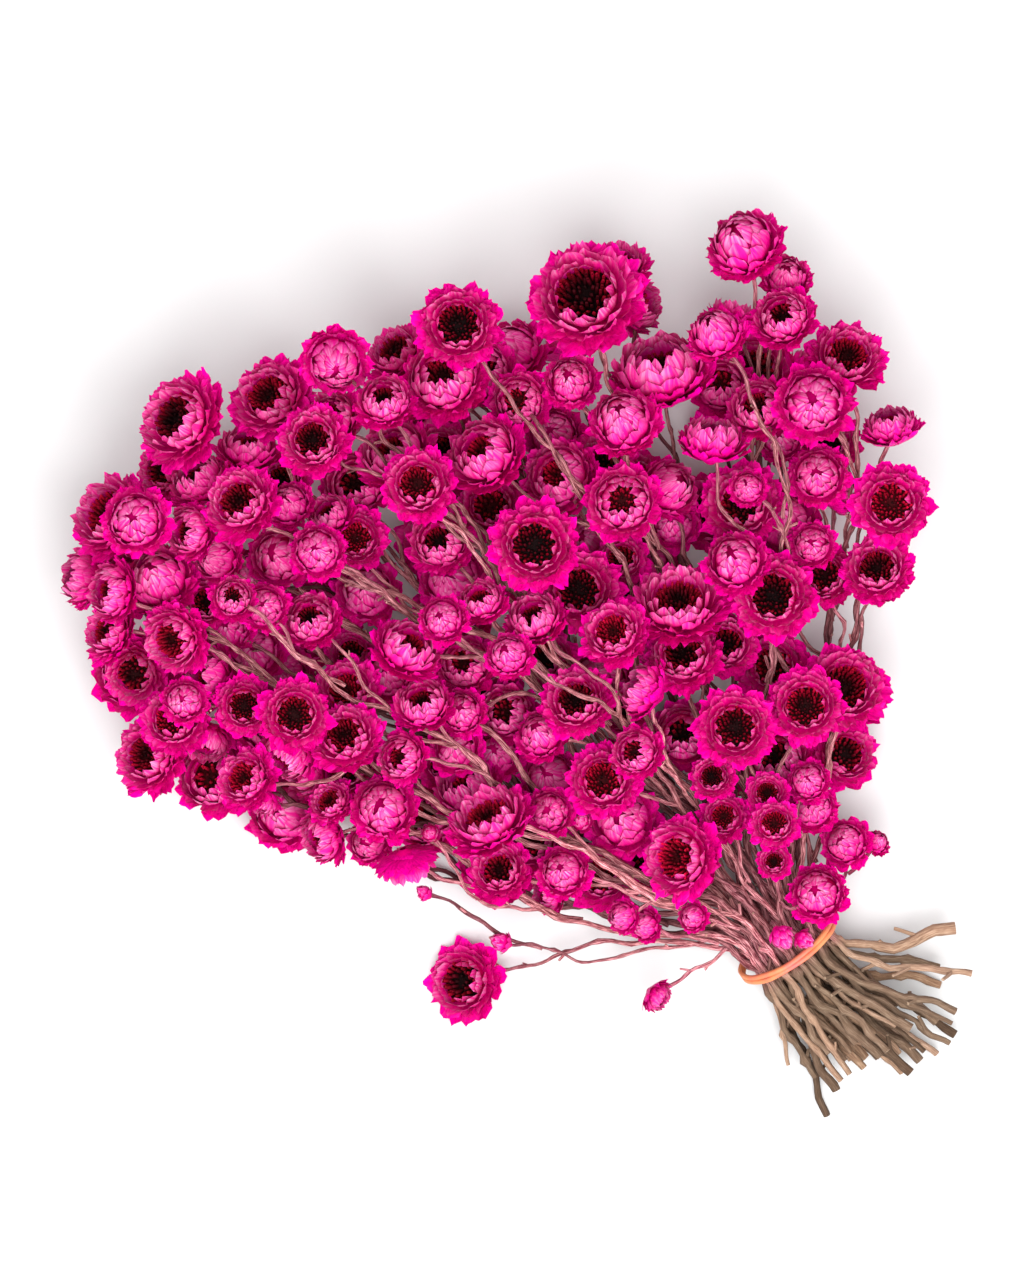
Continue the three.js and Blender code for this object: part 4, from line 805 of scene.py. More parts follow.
# Bracts of one ring in the head's own frame, as sheets of rows from base to tip by columns across
def bract_ring(ring, rows, columns, random, bloom):
    count, base, turn, tip, half, cup, ragged, _ = ring
    spread = 2 * np.pi / count
    angle = spread * (np.arange(count) + random.uniform(0, 1) + random.uniform(-0.26, 0.26, count))
    base, turn, tip = (np.tile(np.array(place, float), (count, 1)) for place in (base, turn, tip))
    loose = 0.35 + 7 * ragged
    tip[:, 0] += bloom[0] + loose * random.uniform(-0.05, 0.045, count)
    tip[:, 1] += bloom[1] + loose * random.uniform(-0.06, 0.08, count)
    turn[:, 0] += 0.5 * bloom[0] + loose * random.uniform(-0.03, 0.03, count)
    tip = turn + (tip - turn) * random.uniform(0.96 - 1.2 * ragged, 1.04 + 0.6 * ragged, count)[:, None]
    t = np.linspace(0, 1, rows)[:, None]
    across = np.linspace(-1, 1, columns)[None]
    u = (t * (1 - BRACT_ROUND * across**2 * t**3))[None]
    ahead = np.clip((u - BRACT_WIDEST) / (1 - BRACT_WIDEST), 0, 1)
    rise = BRACT_FOOT + (1 - BRACT_FOOT) * np.sin(np.pi / 2 * np.clip(u / BRACT_WIDEST, 0, 1)) ** 1.2
    body = np.where(u < BRACT_WIDEST, rise, BRACT_TIP + (1 - BRACT_TIP) * np.sqrt(1 - ahead**2))
    each = (count, 1, 1)
    side = half * random.uniform(0.86, 1.16, each) * body * across
    notch = ragged * random.uniform(-1, 0.5, (count, 1, columns)) * t**4
    lean = random.uniform(-0.2, 0.2, each) * t
    u = u + notch + 0.35 * lean * across * t
    line = [(1 - u) ** 2 * base[:, k, None, None] + 2 * u * (1 - u) * turn[:, k, None, None]
            + u**2 * tip[:, k, None, None] for k in (0, 1)]
    slope = [(1 - u) * (turn - base)[:, k, None, None] + u * (tip - turn)[:, k, None, None] for k in (0, 1)]
    long = np.sqrt(slope[0] ** 2 + slope[1] ** 2)
    free = BRACT_FREE + (1 - BRACT_FREE) * min(ragged / 0.08, 1)
    curl = free * random.uniform(-0.03, 0.09, each) * t**3
    ruffle = BRACT_RUFFLE * random.uniform(0.2, 1, each)
    ruffle = ruffle * np.sin(3.2 * across + random.uniform(0, 6, each)) * t**2
    crease = free * random.uniform(0.0, 0.16, each) * half * np.abs(across) * t
    crinkle = random.normal(0, 0.3 * ragged, (count, rows, columns)) * t**2
    inward = cup * side**2 / (2 * np.maximum(line[0], 0.3)) - curl + ruffle * free + crease + crinkle
    radial = line[0] - inward * slope[1] / long
    high = line[1] + inward * slope[0] / long
    cosine, sine = np.cos(angle)[:, None, None], np.sin(angle)[:, None, None]
    return np.stack([radial * cosine - side * sine, radial * sine + side * cosine, high], axis=-1)


# Three unit vectors: the last one is the head's axis, and the others turn by an angle round it
def head_frame(axis, angle):
    helper = np.array([1.0, 0, 0]) if abs(axis[0]) < 0.8 else np.array([0, 1.0, 0])
    first = unit(np.cross(helper, axis))
    second = np.cross(axis, first)
    turned = first * math.cos(angle) + second * math.sin(angle)
    return np.stack([turned, np.cross(axis, turned), axis])


# How fine the bracts of a head are: rows and columns of the outer rings and of the inner ones
def detail_of(level, radius):
    if level > HIDDEN_LEVEL:
        return LARGE_DETAIL if radius > SMALL_HEAD else SMALL_DETAIL
    return HIDDEN_DETAIL if level > UNDER_LEVEL else UNDER_DETAIL


# One flower head with its bracts, its core and its florets
def add_head(piece, cells, specks, kind, centre, axis, radius, level, random):
    frame_rows = head_frame(axis, random.uniform(0, 2 * np.pi))
    head_tone = random.uniform(0, 1)
    bloom = (random.uniform(-0.03, 0.02), random.uniform(-0.03, 0.04))
    outer_rows, outer_columns, inner_rows, inner_columns = detail_of(level, radius)
    rings = RINGS[kind]
    for number, ring in enumerate(rings):
        outer = number in OUTER_RINGS
        rows, columns = (outer_rows, outer_columns) if outer else (inner_rows, inner_columns)
        if number == 0:
            rows, columns = FIRST_DETAIL
        if ring[0] <= BROAD_RING and level > HIDDEN_LEVEL:
            rows, columns = BROAD_DETAIL
        sheets = bract_ring(ring, rows, columns, random, bloom if number else (0, 0))
        piece.sheets(centre + radius * sheets @ frame_rows, cells.take(len(sheets)), 0, {
            "tone": random.uniform(0, 1, len(sheets))[:, None, None], "head": head_tone,
            "along": np.linspace(0, 1, rows)[:, None], "across": np.linspace(-1, 1, columns),
            "layer": number / (len(rings) - 1), "pale": ring[-1]})
    add_core(piece, cells, kind, centre, radius, frame_rows, head_tone)
    if kind in DISCS:
        add_disc(piece, specks, kind, centre, radius, frame_rows, head_tone, level, random)


def add_core(piece, cells, kind, centre, radius, frame_rows, head_tone):
    turn = np.linspace(0, 2 * np.pi, CORE_SIDES, endpoint=False)
    circle = np.stack([np.cos(turn), np.sin(turn), np.zeros(CORE_SIDES)], axis=-1)
    core = np.array(CORES[kind])
    grid = circle[None] * core[:, 0, None, None]
    grid[..., 2] = core[:, 1, None]
    values = {"tone": 0.3, "head": head_tone, "along": 0.0, "across": 0.0, "layer": 0.5, "pale": 0.0}
    grid = centre + radius * grid @ frame_rows
    piece.sheets(grid[None], cells.take(), 0, values, closed=True)
    top = centre + radius * np.array([0, 0, core[-1, 1] + 0.04]) @ frame_rows
    material = 1 if kind in DISCS else 0
    piece.fans(grid[-1:], top[None], cells.take(), material, dict(values, tone=0.0, along=0.0))


# Florets in a spiral: open and tall in a ring, closed and low in the middle
def add_disc(piece, specks, kind, centre, radius, frame_rows, head_tone, level, random):
    wide, high, count = DISCS[kind]
    if level <= HIDDEN_LEVEL:
        count = count // 2
    number = np.arange(count)
    out = np.sqrt((number + 0.5) / count)
    angle = number * GOLDEN_TURN + random.uniform(0, 6)
    tall = 0.06 + 0.11 * np.sin(np.pi * np.clip(out, 0, 1) ** 1.6) + random.uniform(-0.03, 0.03, count)
    base = high - 0.06 + 0.08 * np.sin(np.pi * out * 0.9)
    thick = 0.8 * wide / math.sqrt(count) * random.uniform(0.8, 1.2, count)
    turn = np.linspace(0, 2 * np.pi, FLORET_SIDES, endpoint=False) + random.uniform(0, 2, count)[:, None]
    ring = np.stack([np.cos(turn), np.sin(turn), np.zeros_like(turn)], axis=-1) * thick[:, None, None]
    foot = np.stack([out * wide * np.cos(angle), out * wide * np.sin(angle), base], axis=-1)
    crown = foot * (1.16, 1.16, 1) + random.normal(0, 0.022, (count, 3)) * (1, 1, 0)
    crown[:, 2] += tall
    tip = crown.copy()
    tip[:, 2] += np.where(out > OPEN_FLORETS, -0.45, 0.3) * tall
    grids = np.stack([foot[:, None] + ring * 1.1 - (0, 0, 0.04), crown[:, None] + ring * 0.8], axis=1)
    grids = centre + radius * grids @ frame_rows
    values = {"tone": random.uniform(0, 1, count)[:, None], "head": head_tone, "across": 0.0,
              "layer": out[:, None], "pale": 0.0}
    places = specks.take(count)
    sides = places * (1, 1, 1, 0.45)
    tops = places * (1, 1, 0.5, 0.5) + places[:, 3:] * (0, 0.5, 0, 0)
    long = {name: value[..., None] if np.ndim(value) else value for name, value in values.items()}
    piece.sheets(grids, sides, 1, dict(long, along=np.array([[0.0], [1.0]])), closed=True)
    piece.fans(grids[:, 1], centre + radius * tip @ frame_rows, tops, 1, dict(values, along=0.9))


# Sizes of the dressed stems, in millimetres
PATH_STEP = 2.0
MAIN_RADII = (1.34, 0.98, 0.56)
TWIG_RADII = (0.66, 0.50)
STOUTNESS = (0.5, 1.15)
MAIN_SIDES = 9
TWIG_SIDES = 7
WAVES = ((58.0, 1.3), (27.0, 0.9), (12.0, 0.4))
KINK_STEP = 6.0
KINK_SIZE = 0.4
NODE_GAP = (6.0, 15.0)
NODE_SWELL = 0.42
NODE_LONG = 0.9
# The cut ends below the band are knottier and more bent
CUT_LONG = 46.0
CUT_CALM = 0.5
CUT_KINK = 0.55
CUT_SWELL = 0.95
CUT_STUBS = 0.62
CUT_STUB_LONG = (2.5, 9.0)
# One stem with its cut end here, on the right, is stout, with more stubs
STOUT_PLACE = (45.0, -24.0)
STOUT_SHARE = 1.5
SWELL_STEP = 4.0
SWELL_SIZE = 0.07
RIB_DEPTH = 0.13
STUB_SHARE = 0.34
STUB_LONG = (2.0, 5.5)
STUB_RADIUS = 0.72
STUB_SIDES = 6
TAN_FROM = 1.0
TAN_RUN = 10.0
STRIPS_HIGH = 0.84
# Painted shade on the stems deep inside the bunch, where the heads above shade them: they darken below this
# height, fading over a run, and only past the band
PAINTED_SHADE_UNDER = 42.0
PAINTED_SHADE_RUN = 22.0
PAINTED_SHADE_FROM = 60.0


# A smooth curve through joints, sampled in even steps
def smooth_path(points, step):
    hops = np.linalg.norm(np.diff(points, axis=0), axis=1)
    far = np.concatenate([[0], np.cumsum(hops)])
    slopes = np.diff(points, axis=0) / hops[:, None]
    ways = np.vstack([slopes[:1], slopes[:-1], slopes[-1:]])
    both = slopes[:-1] * hops[1:, None] + slopes[1:] * hops[:-1, None]
    ways[1:-1] = both / (hops[:-1] + hops[1:])[:, None]
    ways[-1] = slopes[-1]
    spots = np.linspace(0, far[-1], max(4, int(round(far[-1] / step)) + 1))
    k = np.clip(np.searchsorted(far, spots, side="right") - 1, 0, len(hops) - 1)
    h = hops[k]
    t = ((spots - far[k]) / h)[:, None]
    h = h[:, None]
    line = (2 * t**3 - 3 * t**2 + 1) * points[k] + (t**3 - 2 * t**2 + t) * h * ways[k]
    line += (3 * t**2 - 2 * t**3) * points[k + 1] + (t**3 - t**2) * h * ways[k + 1]
    return line, spots


# Two directions across a path that turn with it as little as they can
def path_frames(line):
    ways = units(np.gradient(line, axis=0))
    helper = np.array([0, 0, 1.0]) if abs(ways[0, 2]) < 0.9 else np.array([1.0, 0, 0])
    side = unit(np.cross(helper, ways[0]))
    sides = []
    for way in ways:
        side = unit(side - way * float(side @ way))
        sides.append(side)
    sides = np.array(sides)
    return ways, sides, np.cross(ways, sides)


# A wavy, knotty version of a path: waves and kinks die out at both ends
def roughen(line, spots, random, cut):
    _, side, over = path_frames(line)
    fade = np.clip(np.minimum(spots, spots[-1] - spots) / 9.0, 0, 1)[:, None]
    calm = 1 - (1 - CUT_CALM) * np.clip((CUT_LONG - spots) / 15.0, 0, 1)[:, None] if cut else 1
    for wave, high in WAVES:
        for across in (side, over):
            phase = 2 * np.pi * (spots / (wave * random.uniform(0.8, 1.25)) + random.uniform(0, 1))
            line = line + across * (np.sin(phase) * high * random.uniform(0.3, 1))[:, None] * fade * calm
    knots = np.arange(0, spots[-1] + KINK_STEP, KINK_STEP)
    size = np.where(knots < CUT_LONG * 0.8, CUT_KINK, KINK_SIZE) if cut else KINK_SIZE
    for across in (side, over):
        kinks = np.interp(spots, knots, random.normal(0, 1, len(knots)) * size)
        line = line + across * kinks[:, None] * fade
    return line


# A tube of a path with ribs, as one sheet that closes on itself
def tube(line, radii, sides, random):
    _, side, over = path_frames(line)
    turn = np.linspace(0, 2 * np.pi, sides, endpoint=False)[None]
    twist = np.cumsum(random.normal(0, 0.06, len(line)))[:, None] + random.uniform(0, 6)
    ribs = 1 + RIB_DEPTH * np.cos(3 * turn + twist) + 0.5 * RIB_DEPTH * np.cos(2 * turn - 1.7 * twist)
    ribs = ribs + random.normal(0, 0.035, ribs.shape)
    radius = radii[:, None] * ribs
    return (line[:, None] + side[:, None] * (radius * np.cos(turn))[..., None]
            + over[:, None] * (radius * np.sin(turn))[..., None])


# The thickness along a path: a slow taper, with swellings at its nodes
def stem_radii(spots, stations, sizes, random, cut):
    marks = np.arange(0, spots[-1] + SWELL_STEP, SWELL_STEP)
    swell = np.interp(spots, marks, random.normal(0, SWELL_SIZE, len(marks)))
    radii = np.interp(spots, stations, sizes) * (1 + swell)
    nodes = []
    spot = random.uniform(*NODE_GAP)
    while spot < spots[-1] - 8:
        nodes.append(spot)
        swell = CUT_SWELL if cut and spot < CUT_LONG else NODE_SWELL
        radii = radii + swell * random.uniform(0.3, 1) * np.exp(-((spots - spot) / NODE_LONG) ** 2)
        spot += random.uniform(*NODE_GAP)
    return radii, nodes


cut_places = {chain["spray"]: places[chain["joints"][0]] for chain in reversed(chains)}
stout_number = min(cut_places, key=lambda number: math.dist(cut_places[number][:2], STOUT_PLACE))


# The stem of one spray with its twigs, nodes and stubs
def add_stems(piece, number, random):
    own = [chain for chain in chains if chain["spray"] == number]
    strip = 1 / len(own)
    caps = Cells(4 + 40 * len(own), STRIPS_HIGH + 0.01, 1)
    tone = random.uniform(0, 1)
    crimson = 1.0 if sprays[number]["route"] == STRAYS[2]["route"] else 0.0
    for k, chain in enumerate(own):
        main = k == 0
        line, spots = smooth_path(places[chain["joints"]], PATH_STEP)
        line = roughen(line, spots, random, main)
        if main:
            stout = STOUT_SHARE if number == stout_number else random.uniform(*STOUTNESS)
            scale = chain["radius"] / STEM_RADIUS * np.array([stout, 1, 1])
            radii, nodes = stem_radii(spots, (0, CUT_LONG, spots[-1]), MAIN_RADII * scale, random, True)
        else:
            radii, nodes = stem_radii(spots, (0, spots[-1]), TWIG_RADII, random, False)
        radii = radii + 0.5 * np.exp(-(spots[-1] - spots) / 3.0)
        sides = MAIN_SIDES if main else TWIG_SIDES
        skin = tube(line, radii, sides, random)
        tan = np.clip((TAN_FROM - line[:, 1]) / TAN_RUN, 0, 1)
        blush = np.exp(-(spots[-1] - spots) / 9.0)
        # Painted shade: stems low inside the bunch, under the heads, are darkened
        height = line[:, 2] - REST_PLANE
        painted_shade = np.clip((PAINTED_SHADE_UNDER - height) / PAINTED_SHADE_RUN, 0, 1) * np.clip(line[:, 1] / PAINTED_SHADE_FROM, 0, 1)
        values = {"tone": tone, "along": spots[:, None] / 100, "across": np.arange(sides) / sides,
                  "tan": tan[:, None], "blush": blush[:, None], "cut": 0.0,
                  "crimson": crimson * (1 - tan[:, None]), "painted_shade": painted_shade[:, None]}
        cell = np.array([[(k + 0.06) * strip, 0.005, 0.88 * strip, STRIPS_HIGH - 0.01]])
        piece.sheets(skin[None], cell, 0, values, closed=True)
        flat = {"tone": tone, "along": 0.0, "across": 0.5, "tan": tan[0], "blush": 0.0,
                "crimson": crimson * (1 - tan[0]), "painted_shade": 0.0}
        if main:
            piece.fans(skin[:1, ::-1], line[:1] - (line[1:2] - line[:1]) * 0.06, caps.take(), 0,
                       dict(flat, cut=1.0))
        for spot in nodes:
            knotty = main and spot < CUT_LONG * 0.8
            if random.uniform(0, 1) < (CUT_STUBS if knotty else STUB_SHARE):
                add_stub(piece, caps, line, int(spot / spots[-1] * (len(line) - 1)), radii,
                         CUT_STUB_LONG if knotty else STUB_LONG, flat, random)


# A short broken side twig at a node
def add_stub(piece, caps, line, at, radii, longs, flat, random):
    ways, side, over = path_frames(line[max(at - 1, 0):at + 3])
    angle = random.uniform(0, 2 * np.pi)
    out = side[0] * math.cos(angle) + over[0] * math.sin(angle)
    way = unit(out + ways[0] * random.uniform(0.4, 1.1))
    long = random.uniform(*longs) * (1 if radii[at] > 0.9 else 0.6)
    share = np.linspace(0, 1, 5)[:, None]
    path = line[at] + way * long * share + ways[0] * 0.5 * share**2
    thin = STUB_RADIUS * min(1, radii[at] / 1.2) * np.array([1.25, 1, 0.9, 0.86, 0.8])
    skin = tube(path, thin, STUB_SIDES, random)
    low = max(path[-1, 2] - REST_PLANE, 0)
    if low < 1.5:
        return
    values = dict(flat, tan=float(np.clip((TAN_FROM - line[at, 1]) / TAN_RUN, 0, 1)))
    grown = dict(values, along=at * 0.02 + share * 0.03, across=np.arange(STUB_SIDES) / STUB_SIDES, cut=0.0)
    piece.sheets(skin[None], caps.take(), 0, grown, closed=True)
    piece.fans(skin[-1:], path[-1:] + way * 0.15, caps.take(), 0, dict(values, cut=1.0))


# The rubber band: two strands side by side round the bundle, oval and slanted
BAND_GAP = 0.35
BAND_THICK = 1.4
BAND_WIDE = 2.7
BAND_SLANT = 0.42
BAND_TURNS = 128
STRAND_SIDES = 12


def add_band(piece, random):
    turn = np.linspace(0, 2 * np.pi, BAND_TURNS + 1) - np.pi / 2
    for strand in (-1, 1):
        phase = random.uniform(0, 6)
        drift = 0.12 * np.sin(3 * turn + phase) + 0.08 * np.sin(7 * turn + 2 * phase)
        proud = 0.52 * BAND_THICK + 0.08 * np.sin(4 * turn + phase)
        round_turn = np.linspace(0, 2 * np.pi, STRAND_SIDES, endpoint=False)
        square = np.abs(np.cos(round_turn)) ** 6 + np.abs(np.sin(round_turn)) ** 6
        out = 0.48 * BAND_THICK * np.cos(round_turn) / square ** (1 / 6)
        along = 0.25 * BAND_WIDE * np.sin(round_turn) / square ** (1 / 6)
        stick = proud[:, None] + out[None]
        up = np.sin(turn)[:, None] * (BUNDLE_HIGH + BAND_GAP + stick)
        across = np.cos(turn)[:, None] * (BUNDLE_WIDE + BAND_GAP + stick)
        forth = strand * 0.25 * BAND_WIDE + drift[:, None] + along[None] - BAND_SLANT * up
        grid = np.stack([TIE_ASIDE + across, forth, TIE_HEIGHT + up], axis=-1)
        cell = np.array([[0.02, 0.26 + 0.24 * strand, 0.96, 0.22]])
        values = {"tone": 0.5 + 0.5 * strand, "along": (turn / np.pi)[:, None],
                  "across": round_turn / np.pi, "strand": float(strand)}
        piece.sheets(grid[None], cell, 0, values, closed=True)


# Small helpers for node materials
class Shader:
    def __init__(self, name):
        self.material = bpy.data.materials.new(name)
        self.material.use_nodes = True
        self.tree = self.material.node_tree
        self.tree.nodes.clear()
        self.output = self.tree.nodes.new("ShaderNodeOutputMaterial")
        self.surface = self.tree.nodes.new("ShaderNodeBsdfPrincipled")
        self.tree.links.new(self.surface.outputs[0], self.output.inputs[0])

    def node(self, kind, inputs=None, **options):
        made = self.tree.nodes.new("ShaderNode" + kind)
        for name, value in options.items():
            setattr(made, name, value)
        for socket, value in (inputs or {}).items():
            self.feed(made.inputs[socket], value)
        return made

    def feed(self, socket, value):
        if isinstance(value, bpy.types.NodeSocket):
            self.tree.links.new(value, socket)
        else:
            socket.default_value = value

    def value(self, name):
        return self.node("Attribute", attribute_name=name).outputs["Fac"]

    def math(self, operation, *values):
        made = self.node("Math", operation=operation)
        for socket, value in zip(made.inputs, values):
            self.feed(socket, value)
        return made.outputs[0]

    def mix(self, share, first, second):
        made = self.node("Mix", data_type="RGBA")
        self.feed(made.inputs[0], share)
        self.feed(made.inputs[6], first)
        self.feed(made.inputs[7], second)
        return made.outputs[2]

    def multiply(self, share, first, second):
        inputs = {0: share, 6: first, 7: second}
        return self.node("Mix", inputs, data_type="RGBA", blend_type="MULTIPLY").outputs[2]

    def ramp(self, share, stops):
        made = self.node("ValToRGB", {0: share})
        while len(made.color_ramp.elements) < len(stops):
            made.color_ramp.elements.new(0.5)
        for element, (place, colour) in zip(made.color_ramp.elements, stops):
            element.position = place
            element.color = (*colour, 1)
        return made.outputs[0]

    def spot(self, *values):
        made = self.node("CombineXYZ")
        for socket, value in zip(made.inputs, values):
            self.feed(socket, value)
        return made.outputs[0]

    def noise(self, vector, scale, detail=3.0, rough=0.5):
        return self.node("TexNoise", {"Vector": vector, "Scale": scale, "Detail": detail,
                                      "Roughness": rough}).outputs[0]

    def scaled(self, value, low, high):
        return self.node("MapRange", {0: value, 3: low, 4: high}).outputs[0]

    def bump(self, height, strength, distance):
        made = self.node("Bump", {"Height": height, "Strength": strength, "Distance": distance})
        self.feed(self.surface.inputs["Normal"], made.outputs[0])

    def set(self, **values):
        for name, value in values.items():
            self.feed(self.surface.inputs[name.replace("_", " ")], value)


# Colours of the bracts
# The foot colour is partly the bracts' own deeper magenta and partly painted shade in the creases where they
# overlap
FOOT_PINK_AND_SHADE = (0.50, 0.0001, 0.090, 1)
SKIRT_PINK = (0.94, 0.0001, 0.325, 1)
CUP_PINK = (0.78, 0.0001, 0.245, 1)
# The pale colour is partly the inner bracts' own paler pink and partly painted highlight laid on in streaks
PALE_AND_HIGHLIGHT_PINK = (0.82, 0.390, 0.600, 1)
# Painted highlight along the bract edges
RIM_HIGHLIGHT_PINK = (0.80, 0.25, 0.48, 1)
VEIN_PINK = (0.55, 0.0001, 0.15, 1)
CLOUD_PINK = (0.78, 0.0006, 0.30, 1)
HEAD_PINK = (0.80, 0.002, 0.32, 1)
BLOTCHES = [(0.0, (0.60, 0.55, 0.55)), (0.5, (0.98, 1.0, 0.98)), (1.0, (1.12, 1.3, 1.32))]
# Colours of the florets from the middle of the disc outwards, of the painted shade in the gaps between them
# and of their tips
DISC_REDS = [(0.0, (0.001, 0.0001, 0.0002)), (0.28, (0.003, 0.0001, 0.0003)),
             (0.45, (0.12, 0.0003, 0.005)), (1.0, (0.36, 0.0006, 0.018))]
DISC_PAINTED_SHADE = (0.004, 0.0001, 0.0004, 1)
DISC_TIP = (0.95, 0.006, 0.075, 1)
DISC_GRAIN = (0.006, 0.0002, 0.0005, 1)
# Colours of the stems along their fibres, and what shades them from one spray to the next
ROSE = [(0.36, (0.035, 0.002, 0.006)), (0.48, (0.27, 0.046, 0.080)), (0.60, (0.90, 0.40, 0.46))]
OLIVE = [(0.36, (0.030, 0.003, 0.004)), (0.48, (0.23, 0.052, 0.052)), (0.60, (0.76, 0.36, 0.33))]
TAN = [(0.28, (0.055, 0.031, 0.019)), (0.5, (0.235, 0.155, 0.098)), (0.72, (0.48, 0.36, 0.26))]
PALLOR = [(0.0, (0.62, 0.56, 0.58)), (0.5, (0.95, 0.93, 0.94)), (1.0, (1.6, 1.6, 1.6))]
TAN_SHADE = [(0.0, (0.35, 0.32, 0.30)), (0.4, (0.8, 0.8, 0.8)),
             (0.7, (1.1, 1.0, 0.92)), (1.0, (1.5, 1.5, 1.6))]
BLUSH = (0.40, 0.05, 0.17, 1)
TAN_PATCH = (0.30, 0.165, 0.115, 1)
CRIMSON = (0.20, 0.018, 0.055, 1)
# Painted shade for the stems deep inside the bunch
PAINTED_SHADE_BROWN = (0.034, 0.003, 0.007, 1)
CUT_WOOD = (0.46, 0.33, 0.23, 1)
# Colours of the rubber, the surface and the light
RUBBER = [(0.3, (0.60, 0.10, 0.10)), (0.5, (0.68, 0.20, 0.08)), (0.7, (0.72, 0.30, 0.12))]
RUBBER_GRAIN = (0.62, 0.20, 0.09, 1)
FLOOR_SHADE = (0.64, 0.64, 0.64, 1)
WORLD_LIGHT = 0.67
# Lamps: how far right and up in the photo, how high, how wide in metres, and how strong in watts
LAMPS = {"key": (0.2, -0.46, 1.2, 1.25, 29), "fill": (-0.7, 0.1, 1.0, 0.8, 5)}


# Papery bracts: magenta, paler on the inner cups and towards their tips, with fine veins from base to tip.
# Painted highlights lie in streaks along them and on their edges, and painted shade darkens their feet where
# they overlap
def bract_material():
    look = Shader("bracts")
    tone, head, pale = look.value("tone"), look.value("head"), look.value("pale")
    along, across = look.value("along"), look.value("across")
    offset = look.math("MULTIPLY", tone, 37.0)
    vein_spot = look.spot(look.math("MULTIPLY", across, 6.0), look.math("MULTIPLY", along, 0.8), offset)
    veins = look.noise(vein_spot, 2.6, 3.0)
    cloud = look.noise(look.spot(look.math("MULTIPLY", across, 0.8), along, offset), 2.2, 2.0)
    edge = look.math("POWER", look.math("ABSOLUTE", across), 5.0)
    reach = look.node("MapRange", {0: along, 1: 0.4, 2: 1.0}, interpolation_type="SMOOTHSTEP").outputs[0]
    # Towards their tips the bracts turn paler: partly their own paler colour, scaled by how pale their ring
    # is, and partly painted highlight in streaks along them
    highlight_streak_spot = look.spot(look.math("MULTIPLY", across, 2.2), look.math("MULTIPLY", along, 0.7), offset)
    highlight_streaks = look.node("MapRange", {0: look.noise(highlight_streak_spot, 1.6, 1.5), 1: 0.38, 2: 0.66}).outputs[0]
    lift = look.math("ADD", look.math("MULTIPLY", pale, 0.95), look.math("MULTIPLY", tone, 0.01))
    highlight_streaked = look.math("MULTIPLY_ADD", highlight_streaks, 0.8, 0.2)
    lift = look.math("MULTIPLY", look.math("MULTIPLY", lift, reach), highlight_streaked)
    lift = look.math("POWER", lift, 1.6)
    # Painted highlight along the bract edges towards their tips, stronger on the paler rings
    rim_highlight = look.math("MULTIPLY_ADD", pale, 0.35, 0.03)
    rim_highlight = look.math("MULTIPLY", look.math("MULTIPLY", edge, reach), rim_highlight)
    # Deeper towards the foot: partly the bracts' own colour and partly painted shade in the creases where
    # they overlap
    base = look.mix(look.math("POWER", along, 0.6), FOOT_PINK_AND_SHADE, look.mix(pale, SKIRT_PINK, CUP_PINK))
    colour = look.mix(lift, base, PALE_AND_HIGHLIGHT_PINK)
    colour = look.mix(rim_highlight, colour, RIM_HIGHLIGHT_PINK)
    colour = look.mix(look.math("MULTIPLY", look.scaled(veins, 0.0, 1.0), 0.28), colour, VEIN_PINK)
    mottle_spot = look.spot(look.math("MULTIPLY", across, 1.6), look.math("MULTIPLY", along, 2.2), offset)
    mottle = look.node("MapRange", {0: look.noise(mottle_spot, 2.8, 3.0), 1: 0.36, 2: 0.64}).outputs[0]
    mottled = look.multiply(0.8, colour, look.ramp(mottle, BLOTCHES))
    colour = look.mix(look.math("MULTIPLY_ADD", pale, -0.7, 1.0), colour, mottled)
    colour = look.mix(look.math("MULTIPLY", look.scaled(cloud, 0.0, 1.0), 0.16), colour, CLOUD_PINK)
    colour = look.mix(look.math("MULTIPLY", head, 0.12), colour, HEAD_PINK)
    look.set(Base_Color=colour, Roughness=look.scaled(veins, 0.34, 0.52), Specular_IOR_Level=0.14,
             Specular_Tint=(1.0, 0.1, 0.5, 1))
    relief = look.math("ADD", look.math("MULTIPLY", veins, 1.0), look.math("MULTIPLY", cloud, 0.6))
    look.bump(relief, 0.5, 0.0004)
    return look.material


# Florets: dark red, near black in the middle, brighter at their tips, with painted shade at their feet in the
# gaps between them
def disc_material():
    look = Shader("disc")
    tone, layer, along = look.value("tone"), look.value("layer"), look.value("along")
    place = look.node("TexCoord").outputs["Object"]
    grain = look.noise(place, 2600.0, 2.0)
    bright = look.math("MULTIPLY_ADD", look.value("head"), 0.7, 0.3)
    open_part = look.math("ADD", layer, look.math("MULTIPLY_ADD", look.value("head"), 0.36, -0.28))
    # Painted shade: each floret darkens towards its foot, in the gaps between the florets
    ring = look.mix(look.math("MULTIPLY_ADD", along, 0.8, 0.2), DISC_PAINTED_SHADE, look.ramp(open_part, DISC_REDS))
    tips = look.math("MULTIPLY", look.math("MULTIPLY", look.math("POWER", along, 1.5), bright),
                     look.math("MULTIPLY", look.scaled(tone, 0.1, 1.0), look.math("POWER", layer, 1.6)))
    colour = look.mix(tips, ring, DISC_TIP)
    colour = look.mix(look.math("MULTIPLY", grain, 0.2), colour, DISC_GRAIN)
    look.set(Base_Color=colour, Roughness=look.scaled(grain, 0.5, 0.8), Specular_IOR_Level=0.06)
    look.bump(grain, 0.5, 0.0003)
    return look.material
